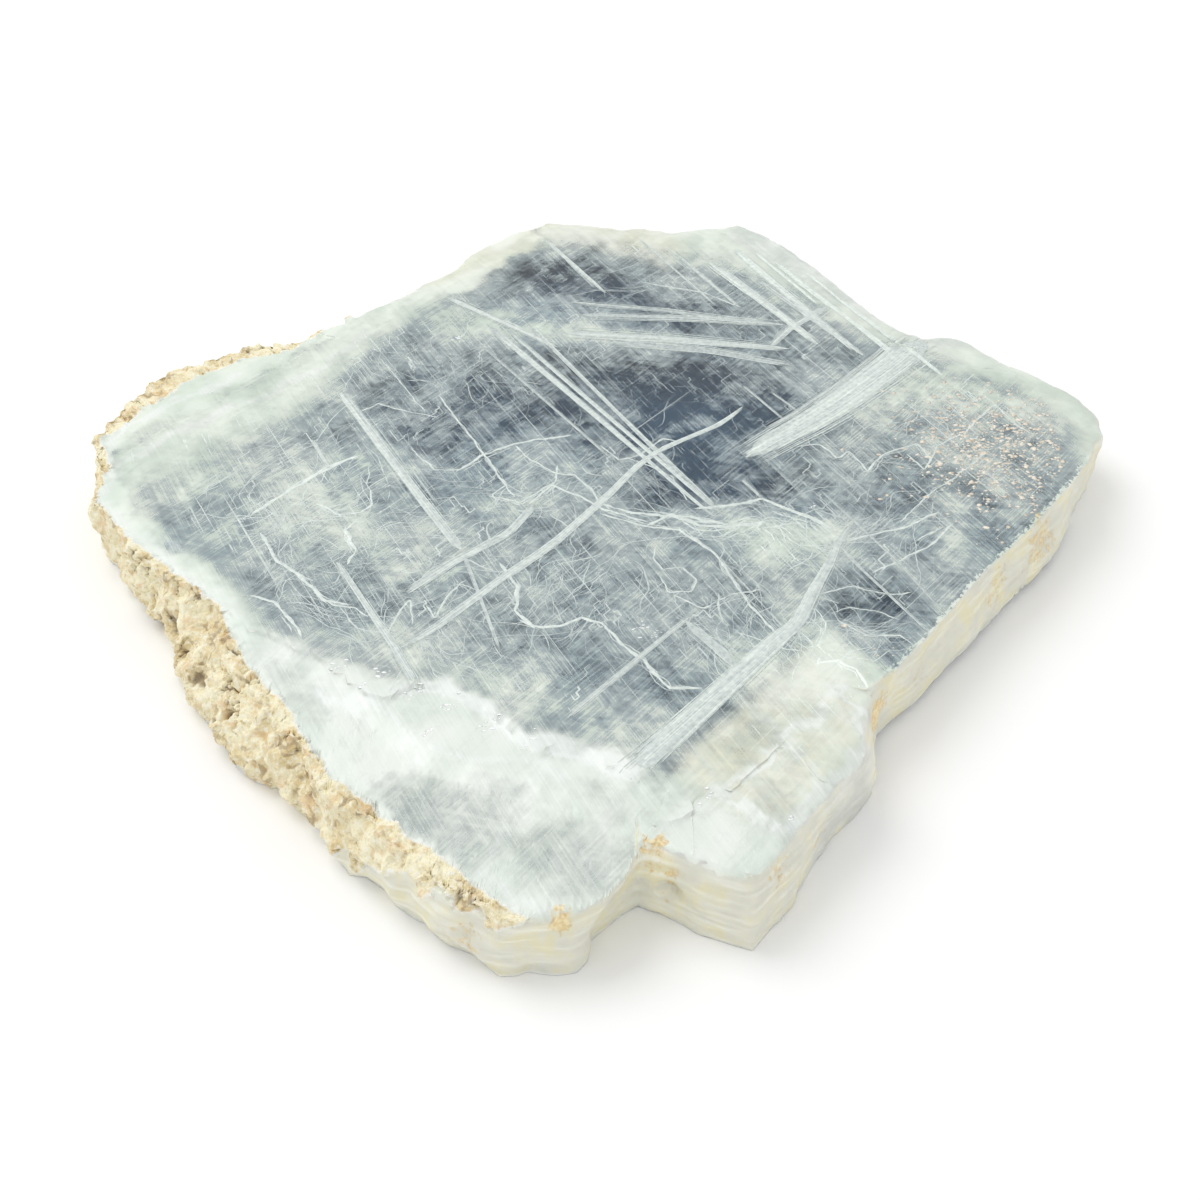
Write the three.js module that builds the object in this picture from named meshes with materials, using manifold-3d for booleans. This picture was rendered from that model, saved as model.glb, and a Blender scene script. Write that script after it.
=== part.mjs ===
import * as THREE from 'three';
import { mergeVertices } from 'three/addons/utils/BufferGeometryUtils.js';
import { ImprovedNoise } from 'three/addons/math/ImprovedNoise.js';
import Module from 'manifold-3d';

// A cleaved slab of clear gypsum (selenite) with a weathered crust on its left side.
// Millimetres, +Z up. It lies on one cleavage face, and the other is its flat top.
// Seen from above, +Y is the far side and the crust runs from the left tip to the front tip.

const THICKNESS = 13;
const CRUST_SPACING = 2.1;
const BREAK_SPACING = 3.5;
const LEDGE_TOOTH = 1.1;
const SMALLEST_TOOTH = 0.12;

// Where a tooth's corner may lie between its two ends, and its height from least to most, as
// a share of the cleavage's own.
const CORNER_FROM = 0.25;
const CORNER_TO = 0.75;
const TOOTH_LEAST = -0.3;
const TOOTH_MOST = 1.3;

// How many stations to each side tell which way the wall faces.
const SMOOTHING = 2;

// The two directions, in degrees from +X, in which the crystal parts across its flat faces.
const CLEAVAGE_A_DEG = 117.3;
const CLEAVAGE_B_DEG = 51.1;

// Heights of the wall's rows as shares of the thickness, foot to rim.
const WALL_ROWS = [0, 0.07, 0.2, 0.34, 0.48, 0.62, 0.76, 0.9, 1];

// How each kind of wall departs from a plain upright one: the height of its lumps, how much of
// that is left at the rim, and how far the foot is tucked in under it.
const WALLS = {
  crust: { lumps: 1.7, lumpSize: 6.5, rimShare: 0.35, tuck: 1.2, splinter: 0 },
  broken: { lumps: 0.45, lumpSize: 8, rimShare: 0.6, tuck: 0.5, splinter: 0.7 },
  cleaved: { lumps: 0.25, lumpSize: 10, rimShare: 0.5, tuck: 0.3, splinter: 0.25 },
};

// The finer lumps on them, in width, and in height against the larger ones.
const SMALL_LUMP = 2.9;
const SMALL_LUMP_SHARE = 0.7;

// Shares of the thickness: the flare of the foot dies out between the first two, the tuck
// ends at the third, and the lumps start to fade towards the rim at the fourth.
const FLARE_FROM = 0.3;
const FLARE_TO = 1;
const TUCK_TO = 0.22;
const RIM_FROM = 0.75;

// The rim, counter-clockwise from the left tip. A third number says how far the wall's foot
// stands out beyond the rim there.
const RIM = [
  {
    wall: 'crust',
    points: [
      [-88.6, 12.5, 0], [-86.2, 7, 0.8], [-83.6, 3, 1.5], [-83.2, -1, 2], [-83.6, -6, 1],
      [-80, -10.6, -0.6], [-76, -16.8, 0], [-70, -24, 1.2], [-64.5, -28, 4.4], [-60, -31, 6.4],
      [-58, -34.5, 7], [-56.5, -39, 6.6], [-53, -47, 6], [-48, -55, 5], [-44, -59, 3.8],
      [-41.5, -62.5, 2.8], [-38, -70, 0.6], [-35, -74.3, 1.2], [-31, -76.3, 2.8], [-27.5, -79.5, 3.2],
      [-21, -86.8, 2.4], [-16, -90.3, 2.2],
    ],
  },
  {
    wall: 'cleaved',
    points: [
      [-12.5, -93.4, 1.2], [-9.5, -94.2, -0.4], [-6.5, -93.6, 0.6], [-3, -93.8, 0], [0, -92.8, -2.4],
      [2.2, -90.6, -3.8], [4.4, -87, -3],
    ],
  },
  {
    wall: 'cleaved',
    points: [
      [5.4, -82.6, 0], [8, -83.8, 0.2], [14.5, -86.8, 1.2], [19.5, -88.8, 1.6], [22.2, -85.6, 1.2],
      [25.2, -81.8, 1.2], [29.8, -75.4, -0.2], [34, -70.6, -1.2], [36.8, -66.4, -0.4], [37.6, -61, 1.8],
      [38.3, -55.8, 1.2],
    ],
  },
  {
    wall: 'broken',
    points: [
      [41.8, -50.6, -0.4], [49.2, -40.8, 0.6], [57.2, -29.8, 1.4], [60.4, -25.3, 1.5], [65, -19.8, 1.2],
      [70.8, -12.4, 1.2], [75, -7.2, 1.2], [80, 0, 0], [84.6, 7.2, -1.2], [89, 13.8, -1.8],
    ],
  },
  {
    wall: 'broken',
    points: [
      [89.6, 20.5, -2], [86.2, 26.6, -1.5], [81, 31.4, -1], [76.8, 37.6, -0.5], [72, 46.6, 0],
      [68.2, 49.8, 0], [65.2, 48.8, 0], [62.2, 46.8, 0], [59.5, 48.8, 0], [57, 50.6, 0],
    ],
  },
  {
    wall: 'cleaved',
    points: [
      [54.4, 54.8, 0], [51, 61.7, 0], [45.4, 73.7, -0.6], [41.6, 80.4, -1.5], [39.2, 85, -2.5],
      [34.8, 90.6, -3], [30, 94.6, -3], [27.6, 95, -2.5],
    ],
  },
  {
    wall: 'broken',
    points: [
      [24.8, 93.2, -1], [20.4, 92.4, 0], [15.2, 89.6, 0], [11, 91.2, 0], [7.6, 92.6, 0], [5, 91, 0],
      [0.2, 92.4, 0], [-4.6, 94.2, 0], [-10.2, 94.7, 0], [-14.8, 93.2, 0], [-18.6, 91.8, 0],
      [-22.8, 86.2, 0], [-26.8, 82, 0], [-28.6, 77, 0], [-30.8, 72.8, 0], [-36.6, 65.2, 0],
      [-42, 59.2, 0], [-49.8, 51.8, 0], [-56, 47.2, 0], [-63, 45, 0],
    ],
  },
  {
    wall: 'crust',
    points: [
      [-66.5, 44.6, 0], [-70.8, 42.6, 0], [-77.6, 37, 0.2], [-81.4, 33.4, 0.2], [-85.4, 25, 0.3],
      [-87.4, 17.5, 0.2],
    ],
  },
];

// What has broken or weathered off the top. Each break starts at an edge, given as points with
// the height left there, and runs from it in one direction over its reach while it drops.
// A ragged edge follows the two cleavage directions in small steps.
const SKY = THICKNESS + 4;
const FLUSH = THICKNESS + 0.15;
const TOP_BREAKS = [
  {
    name: 'upper ledge of the front terrace',
    ragged: true,
    edge: [
      [-62, -33, 12.6], [-56, -35.5, 12.6], [-50, -40, 12.5], [-43, -44.3, 12.5], [-39, -47.6, 12.5],
      [-34.4, -52.3, 12.4], [-30.7, -54.9, 12.3], [-26.5, -51.3, 12.4], [-22.2, -51.8, 12.4],
      [-18, -54.9, 12.4], [-13.8, -58.1, 12.4], [-9.6, -63.5, 12.3], [-2.1, -65, 12.4],
      [5.3, -70.3, 12.4], [9.6, -72.9, 12.5],
    ],
    away: [-4.2, -10.3],
    reach: 44,
    drop: 0.5,
  },
  {
    name: 'lower floor of the front terrace',
    ragged: true,
    edge: [
      [-58, -37.5, 12], [-50.5, -41.8, 11.9], [-43.5, -46.6, 11.8], [-36.5, -53.2, 11.7],
      [-30, -59.4, 11.5], [-24.4, -65.6, 11.4], [-19, -68.6, 11.4], [-10, -72.6, 11.5],
      [-3, -74, 11.6], [4.9, -76.8, 11.7],
    ],
    away: [0, -1],
    reach: 60,
    drop: 1.9,
  },
  {
    name: 'left rim',
    ragged: true,
    edge: [
      [-80.3, 8.5, 12.7], [-78, 1, 12.8], [-76.5, -6, 12.8], [-73, -13, 12.8], [-67, -19, 12.8],
      [-61, -26, 12.8], [-56.2, -33.4, 12.8],
    ],
    away: [-8.5, -5.3],
    reach: 22,
    drop: 2.4,
  },
  {
    name: 'ledge along the back left',
    ragged: true,
    edge: [
      [-49.5, 45.2, 12.3], [-55, 39.6, 12.2], [-60, 33, 12.2], [-64.6, 26.4, 12.1], [-69.8, 20.2, 12.1],
      [-75.6, 13.8, 12.1], [-79.6, 8, 12.1], [-82.4, 3.2, 12.1],
    ],
    away: [-7.8, 6.3],
    reach: 32,
    drop: 1.1,
  },
  {
    name: 'outer shelf of the back left, under a thin crust',
    ragged: true,
    edge: [
      [-52, 50.5, 11.3], [-58, 42.6, 11.2], [-64.6, 39.4, 11.2], [-70.8, 34.2, 11.1], [-75.4, 27.6, 11.1],
      [-80.6, 19.4, 11.1], [-83.8, 12.4, 11.2], [-86.4, 8, 11.2],
    ],
    away: [-7.8, 6.3],
    reach: 26,
    drop: 1.2,
  },
  {
    name: 'bevel along the back',
    edge: [
      [-7, 88.2, FLUSH], [-13, 83, FLUSH], [-18, 77, FLUSH], [-25.5, 68, FLUSH], [-36, 58.4, FLUSH],
      [-44, 51, FLUSH], [-51, 44.4, FLUSH],
    ],
    away: [-1, 1],
    reach: 26,
    drop: 5,
  },
  {
    name: 'back margin',
    edge: [
      [28.5, 86, FLUSH], [22, 86.2, FLUSH], [16, 84.6, FLUSH], [9, 86.4, FLUSH], [2, 86.8, FLUSH],
      [-8.5, 88.4, FLUSH], [-18, 92.5, FLUSH],
    ],
    away: [0, 1],
    reach: 15,
    drop: 3.4,
  },
  {
    name: 'stepped margin at the far right',
    ragged: true,
    edge: [
      [56.6, 41.8, 12.6], [52, 44.4, 12.6], [47.8, 50.6, 12.5], [41.8, 60.6, 12.5], [36, 70.8, 12.5],
      [31.6, 78.4, 12.5], [27.4, 87.6, 12.5], [24, 94.6, 12.5],
    ],
    away: [8.6, 5],
    reach: 20,
    drop: 1.8,
  },
  {
    name: 'second step of that margin',
    ragged: true,
    edge: [
      [54.5, 49.4, 12], [50.2, 54.8, 11.9], [45, 65.6, 11.9], [39.4, 76.4, 11.9], [34, 84.4, 11.9],
      [27.8, 91.4, 11.9], [25, 96.5, 11.9],
    ],
    away: [8.6, 5],
    reach: 20,
    drop: 1.8,
  },
  {
    name: 'worn facet of the right corner',
    edge: [
      [80.6, 3.6, FLUSH], [81.4, 11, FLUSH], [81.2, 20, FLUSH], [78.4, 27.6, FLUSH], [75, 31.4, FLUSH],
      [68, 33.2, FLUSH], [60.4, 36.4, FLUSH], [56, 42.6, FLUSH],
    ],
    away: [7.7, 6.4],
    reach: 32,
    drop: 6.4,
  },
  {
    name: 'worn edge of the front block',
    edge: [
      [37, -60.4, FLUSH], [33.6, -66.6, FLUSH], [27.6, -73.8, FLUSH], [22, -80.6, FLUSH],
      [17, -86.2, FLUSH],
    ],
    away: [7.8, -6.3],
    reach: 12,
    drop: 4.2,
  },
  {
    name: 'step at the front of the block',
    ragged: true,
    edge: [
      [25.4, -83.2, 12.4], [16.6, -73.2, 12.5], [12, -74.8, 12.5], [10.8, -78.4, 12.5], [6.6, -79.6, 12.5],
      [4.6, -80.6, 12.4],
    ],
    away: [0, -1],
    reach: 20,
    drop: 0.4,
  },
  {
    name: 'shallow rhomb on the block',
    edge: [[17.2, -73.8, 12.72], [25.8, -63.6, 12.78]],
    away: [4.6, -8.9],
    reach: 12,
    drop: 0.1,
  },
  {
    name: 'chip beside the block',
    ragged: true,
    edge: [
      [42.6, -49, 12.6], [38, -53.4, 12.6], [33, -52.8, 12.6], [34.2, -58.6, 12.6], [36.2, -62.8, 12.5],
    ],
    away: [9, -4.4],
    reach: 14,
    drop: 0.8,
  },
];

// What has parted from the underside, written the same way with the height of the recess.
const CELLAR = -4;
const UNDER_BREAKS = [
  {
    name: 'recess under the right wall',
    ragged: true,
    edge: [
      [33.5, -55, 0.9], [42, -43.6, 0.9], [52.2, -30.2, 1], [60, -19.4, 1], [70.4, -6.6, 1], [77.6, 6.4, 1],
    ],
    away: [8.1, -5.8],
    reach: 18,
    drop: -0.5,
  },
  {
    name: 'recess under the far right corner',
    ragged: true,
    edge: [[58, 34, 0.8], [50, 44, 0.8], [43, 58.4, 0.9], [34.6, 73, 0.9], [22, 81, 0.9]],
    away: [8, 6],
    reach: 40,
    drop: -0.9,
  },
  {
    name: 'recess under the back left',
    ragged: true,
    edge: [[-24, 70.6, 0.7], [-36, 57, 0.8], [-47, 45, 0.8], [-58.6, 36.4, 0.8], [-70.4, 27, 0.7]],
    away: [-7, 7.1],
    reach: 40,
    drop: -0.9,
  },
];

// A rounded hollow in the block's front wall, where another crystal once sat.
const SOCKET = { centre: [8.8, -85.6, 6], radius: 2.6, depth: 0.75, turnDeg: -20 };
const SOCKET_SEGMENTS = 16;
const SOCKET_RINGS = 10;

const CRYSTAL = { colour: 0xcfd8d6, roughness: 0.25, metalness: 0 };
const MERGE_TOLERANCE = 1e-3;

// How fast the irregular numbers change over the slab, and how far they swing.
const WHIM_RATE = 1.6;
const WHIM_SWING = 0.8;

const wasm = await Module();
wasm.setup();
const noise = new ImprovedNoise();

function direction(degrees) {
  const angle = THREE.MathUtils.degToRad(degrees);
  return new THREE.Vector2(Math.cos(angle), Math.sin(angle));
}

const CLEAVAGE_A = direction(CLEAVAGE_A_DEG);
const CLEAVAGE_B = direction(CLEAVAGE_B_DEG);

// How far the step between two points goes along A when the rest of it goes along B.
function shareAlongA(from, to) {
  const step = new THREE.Vector2(to[0] - from[0], to[1] - from[1]);
  return step.cross(CLEAVAGE_B) / CLEAVAGE_A.cross(CLEAVAGE_B);
}

// An even but irregular number from 0 to 1 for a place on the slab.
function whim(x, y, layer) {
  const swing = WHIM_SWING * noise.noise(WHIM_RATE * x, WHIM_RATE * y, layer);
  return THREE.MathUtils.clamp(0.5 + swing, 0, 1);
}

// Points from one corner to the next, without the last, at about the given spacing. Between
// them are the corners of the cleavage's zigzag, no further than limit off the straight line.
function steppedEdge(from, to, spacing, limit) {
  const length = Math.hypot(to[0] - from[0], to[1] - from[1]);
  const count = Math.max(1, Math.round(length / spacing));
  const sideways = new THREE.Vector2(to[1] - from[1], from[0] - to[0]).normalize();
  const full = shareAlongA(from, to) / count * CLEAVAGE_A.dot(sideways);
  const tooth = THREE.MathUtils.clamp(full, -limit, limit);
  const between = (at) => from.map((value, axis) => THREE.MathUtils.lerp(value, to[axis], at));
  const points = [];
  for (let i = 0; i < count; i += 1) {
    points.push(between(i / count));
    const share = THREE.MathUtils.lerp(CORNER_FROM, CORNER_TO, whim(from[0] + i, from[1], 0));
    const corner = between((i + share) / count);
    const height = THREE.MathUtils.lerp(TOOTH_LEAST, TOOTH_MOST, whim(corner[0], corner[1], 5));
    const bend = tooth * height;
    if (Math.abs(bend) >= SMALLEST_TOOTH) {
      points.push([corner[0] + sideways.x * bend, corner[1] + sideways.y * bend, corner[2]]);
    }
  }
  return points;
}

// A closed body between rings with the same number of points, capped at both ends.
function loft(rings) {
  const count = rings[0].length;
  const positions = new THREE.Float32BufferAttribute(rings.flat(2), 3);
  const triangles = [];
  for (let row = 0; row + 1 < rings.length; row += 1) {
    for (let i = 0; i < count; i += 1) {
      const next = (i + 1) % count;
      const a = row * count + i;
      const b = row * count + next;
      const c = (row + 1) * count + next;
      const d = (row + 1) * count + i;
      triangles.push(a, b, c, a, c, d);
    }
  }
  const flat = (ring) => ring.map((point) => new THREE.Vector2(point[0], point[1]));
  const last = (rings.length - 1) * count;
  for (const [a, b, c] of THREE.ShapeUtils.triangulateShape(flat(rings[0]), [])) {
    triangles.push(a, c, b);
  }
  for (const [a, b, c] of THREE.ShapeUtils.triangulateShape(flat(rings[rings.length - 1]), [])) {
    triangles.push(last + a, last + b, last + c);
  }
  const geometry = new THREE.BufferGeometry();
  geometry.setAttribute('position', positions);
  geometry.setIndex(triangles);
  return geometry;
}

function toSolid(geometry) {
  const bare = geometry.clone();
  bare.deleteAttribute('normal');
  bare.deleteAttribute('uv');
  const merged = mergeVertices(bare, MERGE_TOLERANCE);
  return new wasm.Manifold(new wasm.Mesh({
    numProp: 3,
    vertProperties: new Float32Array(merged.attributes.position.array),
    triVerts: new Uint32Array(merged.index.array),
  }));
}

function toGeometry(solid) {
  const mesh = solid.getMesh();
  const geometry = new THREE.BufferGeometry();
  geometry.setAttribute('position', new THREE.BufferAttribute(new Float32Array(mesh.vertProperties), 3));
  geometry.setIndex(new THREE.BufferAttribute(new Uint32Array(mesh.triVerts), 1));
  return geometry;
}

// The rim as closely spaced stations, each with its wall and the way out of the slab.
function rimStations() {
  const corners = RIM.flatMap(({ wall, points }) => points.map((point) => ({ wall, point })));
  const stations = corners.flatMap(({ wall, point }, index) => {
    const next = corners[(index + 1) % corners.length].point;
    const { splinter } = WALLS[wall];
    const spacing = splinter > 0 ? BREAK_SPACING : CRUST_SPACING;
    const places = steppedEdge(point, next, spacing, splinter);
    return places.map((place) => ({ wall: WALLS[wall], place }));
  });
  return stations.map((station, i) => {
    const before = stations[(i - SMOOTHING + stations.length) % stations.length].place;
    const after = stations[(i + SMOOTHING) % stations.length].place;
    const outward = new THREE.Vector2(after[1] - before[1], before[0] - after[0]).normalize();
    return { ...station, outward };
  });
}

// Where the wall stands at one station and one share of its height.
function wallPoint({ wall, place, outward }, share) {
  const [x, y, foot] = place;
  const height = share * THICKNESS;
  const flare = foot * (1 - THREE.MathUtils.smoothstep(share, FLARE_FROM, FLARE_TO));
  const tuck = wall.tuck * (1 - THREE.MathUtils.smoothstep(share, 0, TUCK_TO));
  const lump = (size) => noise.noise(x / size, y / size, height / size);
  const rough = lump(wall.lumpSize) + SMALL_LUMP_SHARE * lump(SMALL_LUMP);
  const nearRim = THREE.MathUtils.smoothstep(share, RIM_FROM, 1);
  const offset = flare - tuck + rough * wall.lumps * THREE.MathUtils.lerp(1, wall.rimShare, nearRim);
  return [x + outward.x * offset, y + outward.y * offset, height];
}

function slabBlank() {
  const stations = rimStations();
  const rings = WALL_ROWS.map((share) => stations.map((station) => wallPoint(station, share)));
  return toSolid(loft(rings));
}

// The edge of a break as it really runs.
function brokenEdge({ edge, ragged }) {
  if (!ragged) return edge;
  const stepped = edge.slice(0, -1).flatMap((point, i) => {
    return steppedEdge(point, edge[i + 1], BREAK_SPACING, LEDGE_TOOTH);
  });
  return [...stepped, edge[edge.length - 1]];
}

// The body that a break takes away: all between its sloping floor and a level plane.
function brokenBody(patch, level) {
  const away = new THREE.Vector2(...patch.away).normalize();
  const edge = brokenEdge(patch);
  const [first, last] = [edge[0], edge[edge.length - 1]];
  const turn = new THREE.Vector2(last[0] - first[0], last[1] - first[1]).cross(away);
  if (turn * (level - first[2]) < 0) edge.reverse();
  const shift = away.multiplyScalar(patch.reach);
  const far = edge.map(([x, y, z]) => [x + shift.x, y + shift.y, z - patch.drop]);
  const flat = (points) => points.map(([x, y]) => [x, y, level]);
  const rows = [edge, far, flat(far), flat(edge)];
  const count = edge.length;
  const triangles = [];
  const quad = (a, b, c, d) => triangles.push(a, b, c, a, c, d);
  rows.forEach((row, r) => {
    const near = r * count;
    const next = ((r + 1) % rows.length) * count;
    for (let i = 0; i + 1 < count; i += 1) {
      quad(near + i, next + i, next + i + 1, near + i + 1);
    }
  });
  quad(0, 3 * count, 2 * count, count);
  quad(count - 1, 2 * count - 1, 3 * count - 1, 4 * count - 1);
  const geometry = new THREE.BufferGeometry();
  geometry.setAttribute('position', new THREE.Float32BufferAttribute(rows.flat(2), 3));
  geometry.setIndex(triangles);
  return toSolid(geometry);
}

function socket() {
  const { centre, radius, depth, turnDeg } = SOCKET;
  const ball = new THREE.SphereGeometry(radius, SOCKET_SEGMENTS, SOCKET_RINGS);
  ball.scale(1, depth / radius, 1);
  ball.rotateZ(THREE.MathUtils.degToRad(turnDeg));
  ball.translate(...centre);
  return toSolid(ball);
}

function seleniteSlab() {
  let solid = slabBlank();
  for (const patch of TOP_BREAKS) {
    solid = solid.subtract(brokenBody(patch, SKY));
  }
  for (const patch of UNDER_BREAKS) {
    solid = solid.subtract(brokenBody(patch, CELLAR));
  }
  solid = solid.subtract(socket());
  const geometry = toGeometry(solid);
  // The origin is the middle of the box's underside.
  geometry.computeBoundingBox();
  const centre = geometry.boundingBox.getCenter(new THREE.Vector3());
  geometry.translate(-centre.x, -centre.y, -geometry.boundingBox.min.z);
  geometry.computeVertexNormals();
  const material = new THREE.MeshStandardMaterial({
    color: CRYSTAL.colour,
    roughness: CRYSTAL.roughness,
    metalness: CRYSTAL.metalness,
    flatShading: true,
  });
  const mesh = new THREE.Mesh(geometry, material);
  mesh.name = 'selenite_slab';
  return mesh;
}

const slab = new THREE.Group();
slab.add(seleniteSlab());

export default slab;
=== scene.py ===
"""A cleaved slab of clear selenite, cracked and veiled inside, with a weathered crust on its left.

All places are in millimetres in the part's own frame, seen from above: +Y is the far side, the
flat top lies at TOP and the crystal parts across it in the two directions A and B.
"""

import math

import bpy
import numpy as np
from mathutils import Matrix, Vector, bvhtree, geometry, kdtree, noise


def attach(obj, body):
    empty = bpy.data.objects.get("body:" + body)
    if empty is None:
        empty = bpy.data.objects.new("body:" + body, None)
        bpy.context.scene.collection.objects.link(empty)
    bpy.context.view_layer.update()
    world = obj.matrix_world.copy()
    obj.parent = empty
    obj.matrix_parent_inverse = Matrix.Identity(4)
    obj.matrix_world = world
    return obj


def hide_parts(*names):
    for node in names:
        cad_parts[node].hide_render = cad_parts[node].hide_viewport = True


MM = 0.001
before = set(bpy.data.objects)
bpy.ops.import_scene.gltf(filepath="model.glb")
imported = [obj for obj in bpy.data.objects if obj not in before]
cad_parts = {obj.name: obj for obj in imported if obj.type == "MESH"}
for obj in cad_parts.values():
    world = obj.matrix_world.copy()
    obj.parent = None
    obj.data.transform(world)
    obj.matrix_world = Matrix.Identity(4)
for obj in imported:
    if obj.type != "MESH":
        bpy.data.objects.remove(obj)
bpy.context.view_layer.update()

NODE = "selenite_slab"
TOP = 13.0
CLEAVAGE_A = math.radians(117.3)
CLEAVAGE_B = math.radians(51.1)
rng = np.random.default_rng(13)

# Sizes of the slab's small faces, and how near two corners may be.
CRUST_FACE = 0.62
WALL_FACE = 1.2
FLOOR_FACE = 1.25
FLAT_FACE = 1.2
UNDERSIDE_FACE = 2.2
WELD = 0.02

# A grid of places over a flat face: how far apart its rows are, how far each place strays and how
# near the rim it may come, all as shares of the spacing.
ROW_SHARE = 0.87
GRID_STRAY = 0.18
RIM_SHARE = 0.45

# A corner lies in the flat top or the underside when it is nearer to it than this.
LEVEL_GAP = 0.005

# What is higher than the first belongs to the upper side, and than the second to its floors.
UPPER_SIDE = 8.0
FLOORS_ABOVE = 10.6

# Places within this distance of the crusted rim may be crusted. All others count as FAR from it.
CRUST_REACH = 9.5
FAR = 99.0

# Keeps a division from failing, and tells two equal distances from a smaller one.
TINY = 1e-12

# The noise: how far one seed is from the next, and how much fainter and finer each octave is.
SEED_STEP = (17.3, 5.1, 9.7)
OCTAVE_FADE = 0.9
OCTAVE_FINENESS = 2.1

# Relief in millimetres: lumps, grains and creases of the crust, layers and swells of the walls,
# and the small flakes of the broken floors.
CRUST_LUMP = 0.9
CRUST_GRAIN = 0.55
CREASE_DEPTH = 0.8
LAYER_DEPTH = 0.06
WALL_SWELL = 0.42
FLAKE_DEPTH = 0.05
FLAKE_STEP = 0.045
FLAKE_LIMITS = (-0.35, 0.2)

# How level a face has to be to be glassy and not a wall, and the angle of a sharp edge.
GLASSY_SLOPE = 0.62
SHARP_EDGE = math.radians(32)

# The light inside: how clear gypsum bends light, and what it takes from it.
GYPSUM_IOR = 1.52
ABSORPTION_COLOUR = (0.35, 0.55, 0.71)
ABSORPTION_DENSITY = 100.0

# The way the haze drifts across the crystal.
DRIFT = math.radians(-14)
ACROSS_DRIFT = math.radians(76)

# The height of the noise ridges where shade is painted into the crust as dark crevices.
CREVICE_SHADE_RANGE = (1.15, 1.5)

# Colours. In a pair, the surface varies between the first and the second.
HAZE_BLUE = (0.58, 0.70, 0.72), (0.68, 0.78, 0.78)
HAZE_GREEN = (0.66, 0.75, 0.65), (0.76, 0.82, 0.73)
FROST_WHITE = (0.75, 0.80, 0.76), (0.88, 0.91, 0.88)
FROST_YELLOW = (0.80, 0.79, 0.62), (0.84, 0.85, 0.76)
TOP_STAIN = (0.88, 0.74, 0.42), (0.70, 0.48, 0.20)
WALL_PALE = (0.86, 0.89, 0.83), (0.92, 0.93, 0.88)
WALL_CREAM = (0.92, 0.91, 0.77), (0.88, 0.83, 0.56)
WALL_LAYER = (0.92, 0.92, 0.82)
WALL_STAIN = (0.90, 0.77, 0.46), (0.74, 0.53, 0.24)
CRUST_TAN = (0.93, 0.87, 0.62), (0.80, 0.68, 0.40)
CRUST_CHALK = (0.96, 0.94, 0.82)
CRUST_RUST = (0.76, 0.52, 0.26)
# The next three colours are painted shade: on the crust's low grains, along its crevices, and in its creases
# and pits.
CRUST_SHADE = (0.56, 0.42, 0.24)
CRUST_CREVICE_SHADE = (0.34, 0.24, 0.13)
CRUST_PIT_SHADE = (0.22, 0.15, 0.09)
CRUST_STAIN = (0.80, 0.56, 0.26)
CRUST_THIN = (0.90, 0.90, 0.84)
VEIN_WHITE = (0.11, 0.155, 0.20), (0.85, 0.92, 0.85)
GRAIN_BEIGE = (0.64, 0.56, 0.45), (0.86, 0.81, 0.70)
# Painted glint: the near-white of the flakes that stand for light mirrored by cracks.
GLINT_WHITE = (0.90, 0.92, 0.93), (0.95, 0.96, 0.96)

# The camera that the photograph was taken with, as fitted to the slab's outline.
CAMERA_PLACE = (-0.3, -234.3, 176.3)
CAMERA_ELEVATION_DEG = 39.1
LENS_MM = 51.06

# The pale floor, just under the slab so that the two don't touch.
FLOOR_HALF = 3000.0
FLOOR_HEIGHT = -0.06
FLOOR_GREY = 0.93
FLOOR_ROUGHNESS = 0.9

# The soft light: white surroundings, and one wide lamp at the back left, in metres and watts.
SURROUNDINGS_STRENGTH = 0.86
LAMP_PLACE = (-0.7, 0.5, 1.3)
LAMP_SIZE = 1.1
LAMP_POWER = 9.0

# How many times light is followed through the crystal, between pale faces and off glossy ones.
INNER_BOUNCES = 16
DIFFUSE_BOUNCES = 4
GLOSSY_BOUNCES = 6

# The crusted rim, from the back left round the left tip to the front tip.
CRUST_LINE = [
    (-56, 48.5), (-60, 46), (-66.5, 44.6), (-77.6, 37), (-85.4, 25), (-88.4, 12.5), (-83.6, 3), (-83.6, -6),
    (-76, -16.8), (-64.5, -28), (-58, -34.5), (-53, -47), (-44, -59), (-38, -70), (-27.5, -79.5),
    (-16, -90.3), (-11, -94),
]

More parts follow.
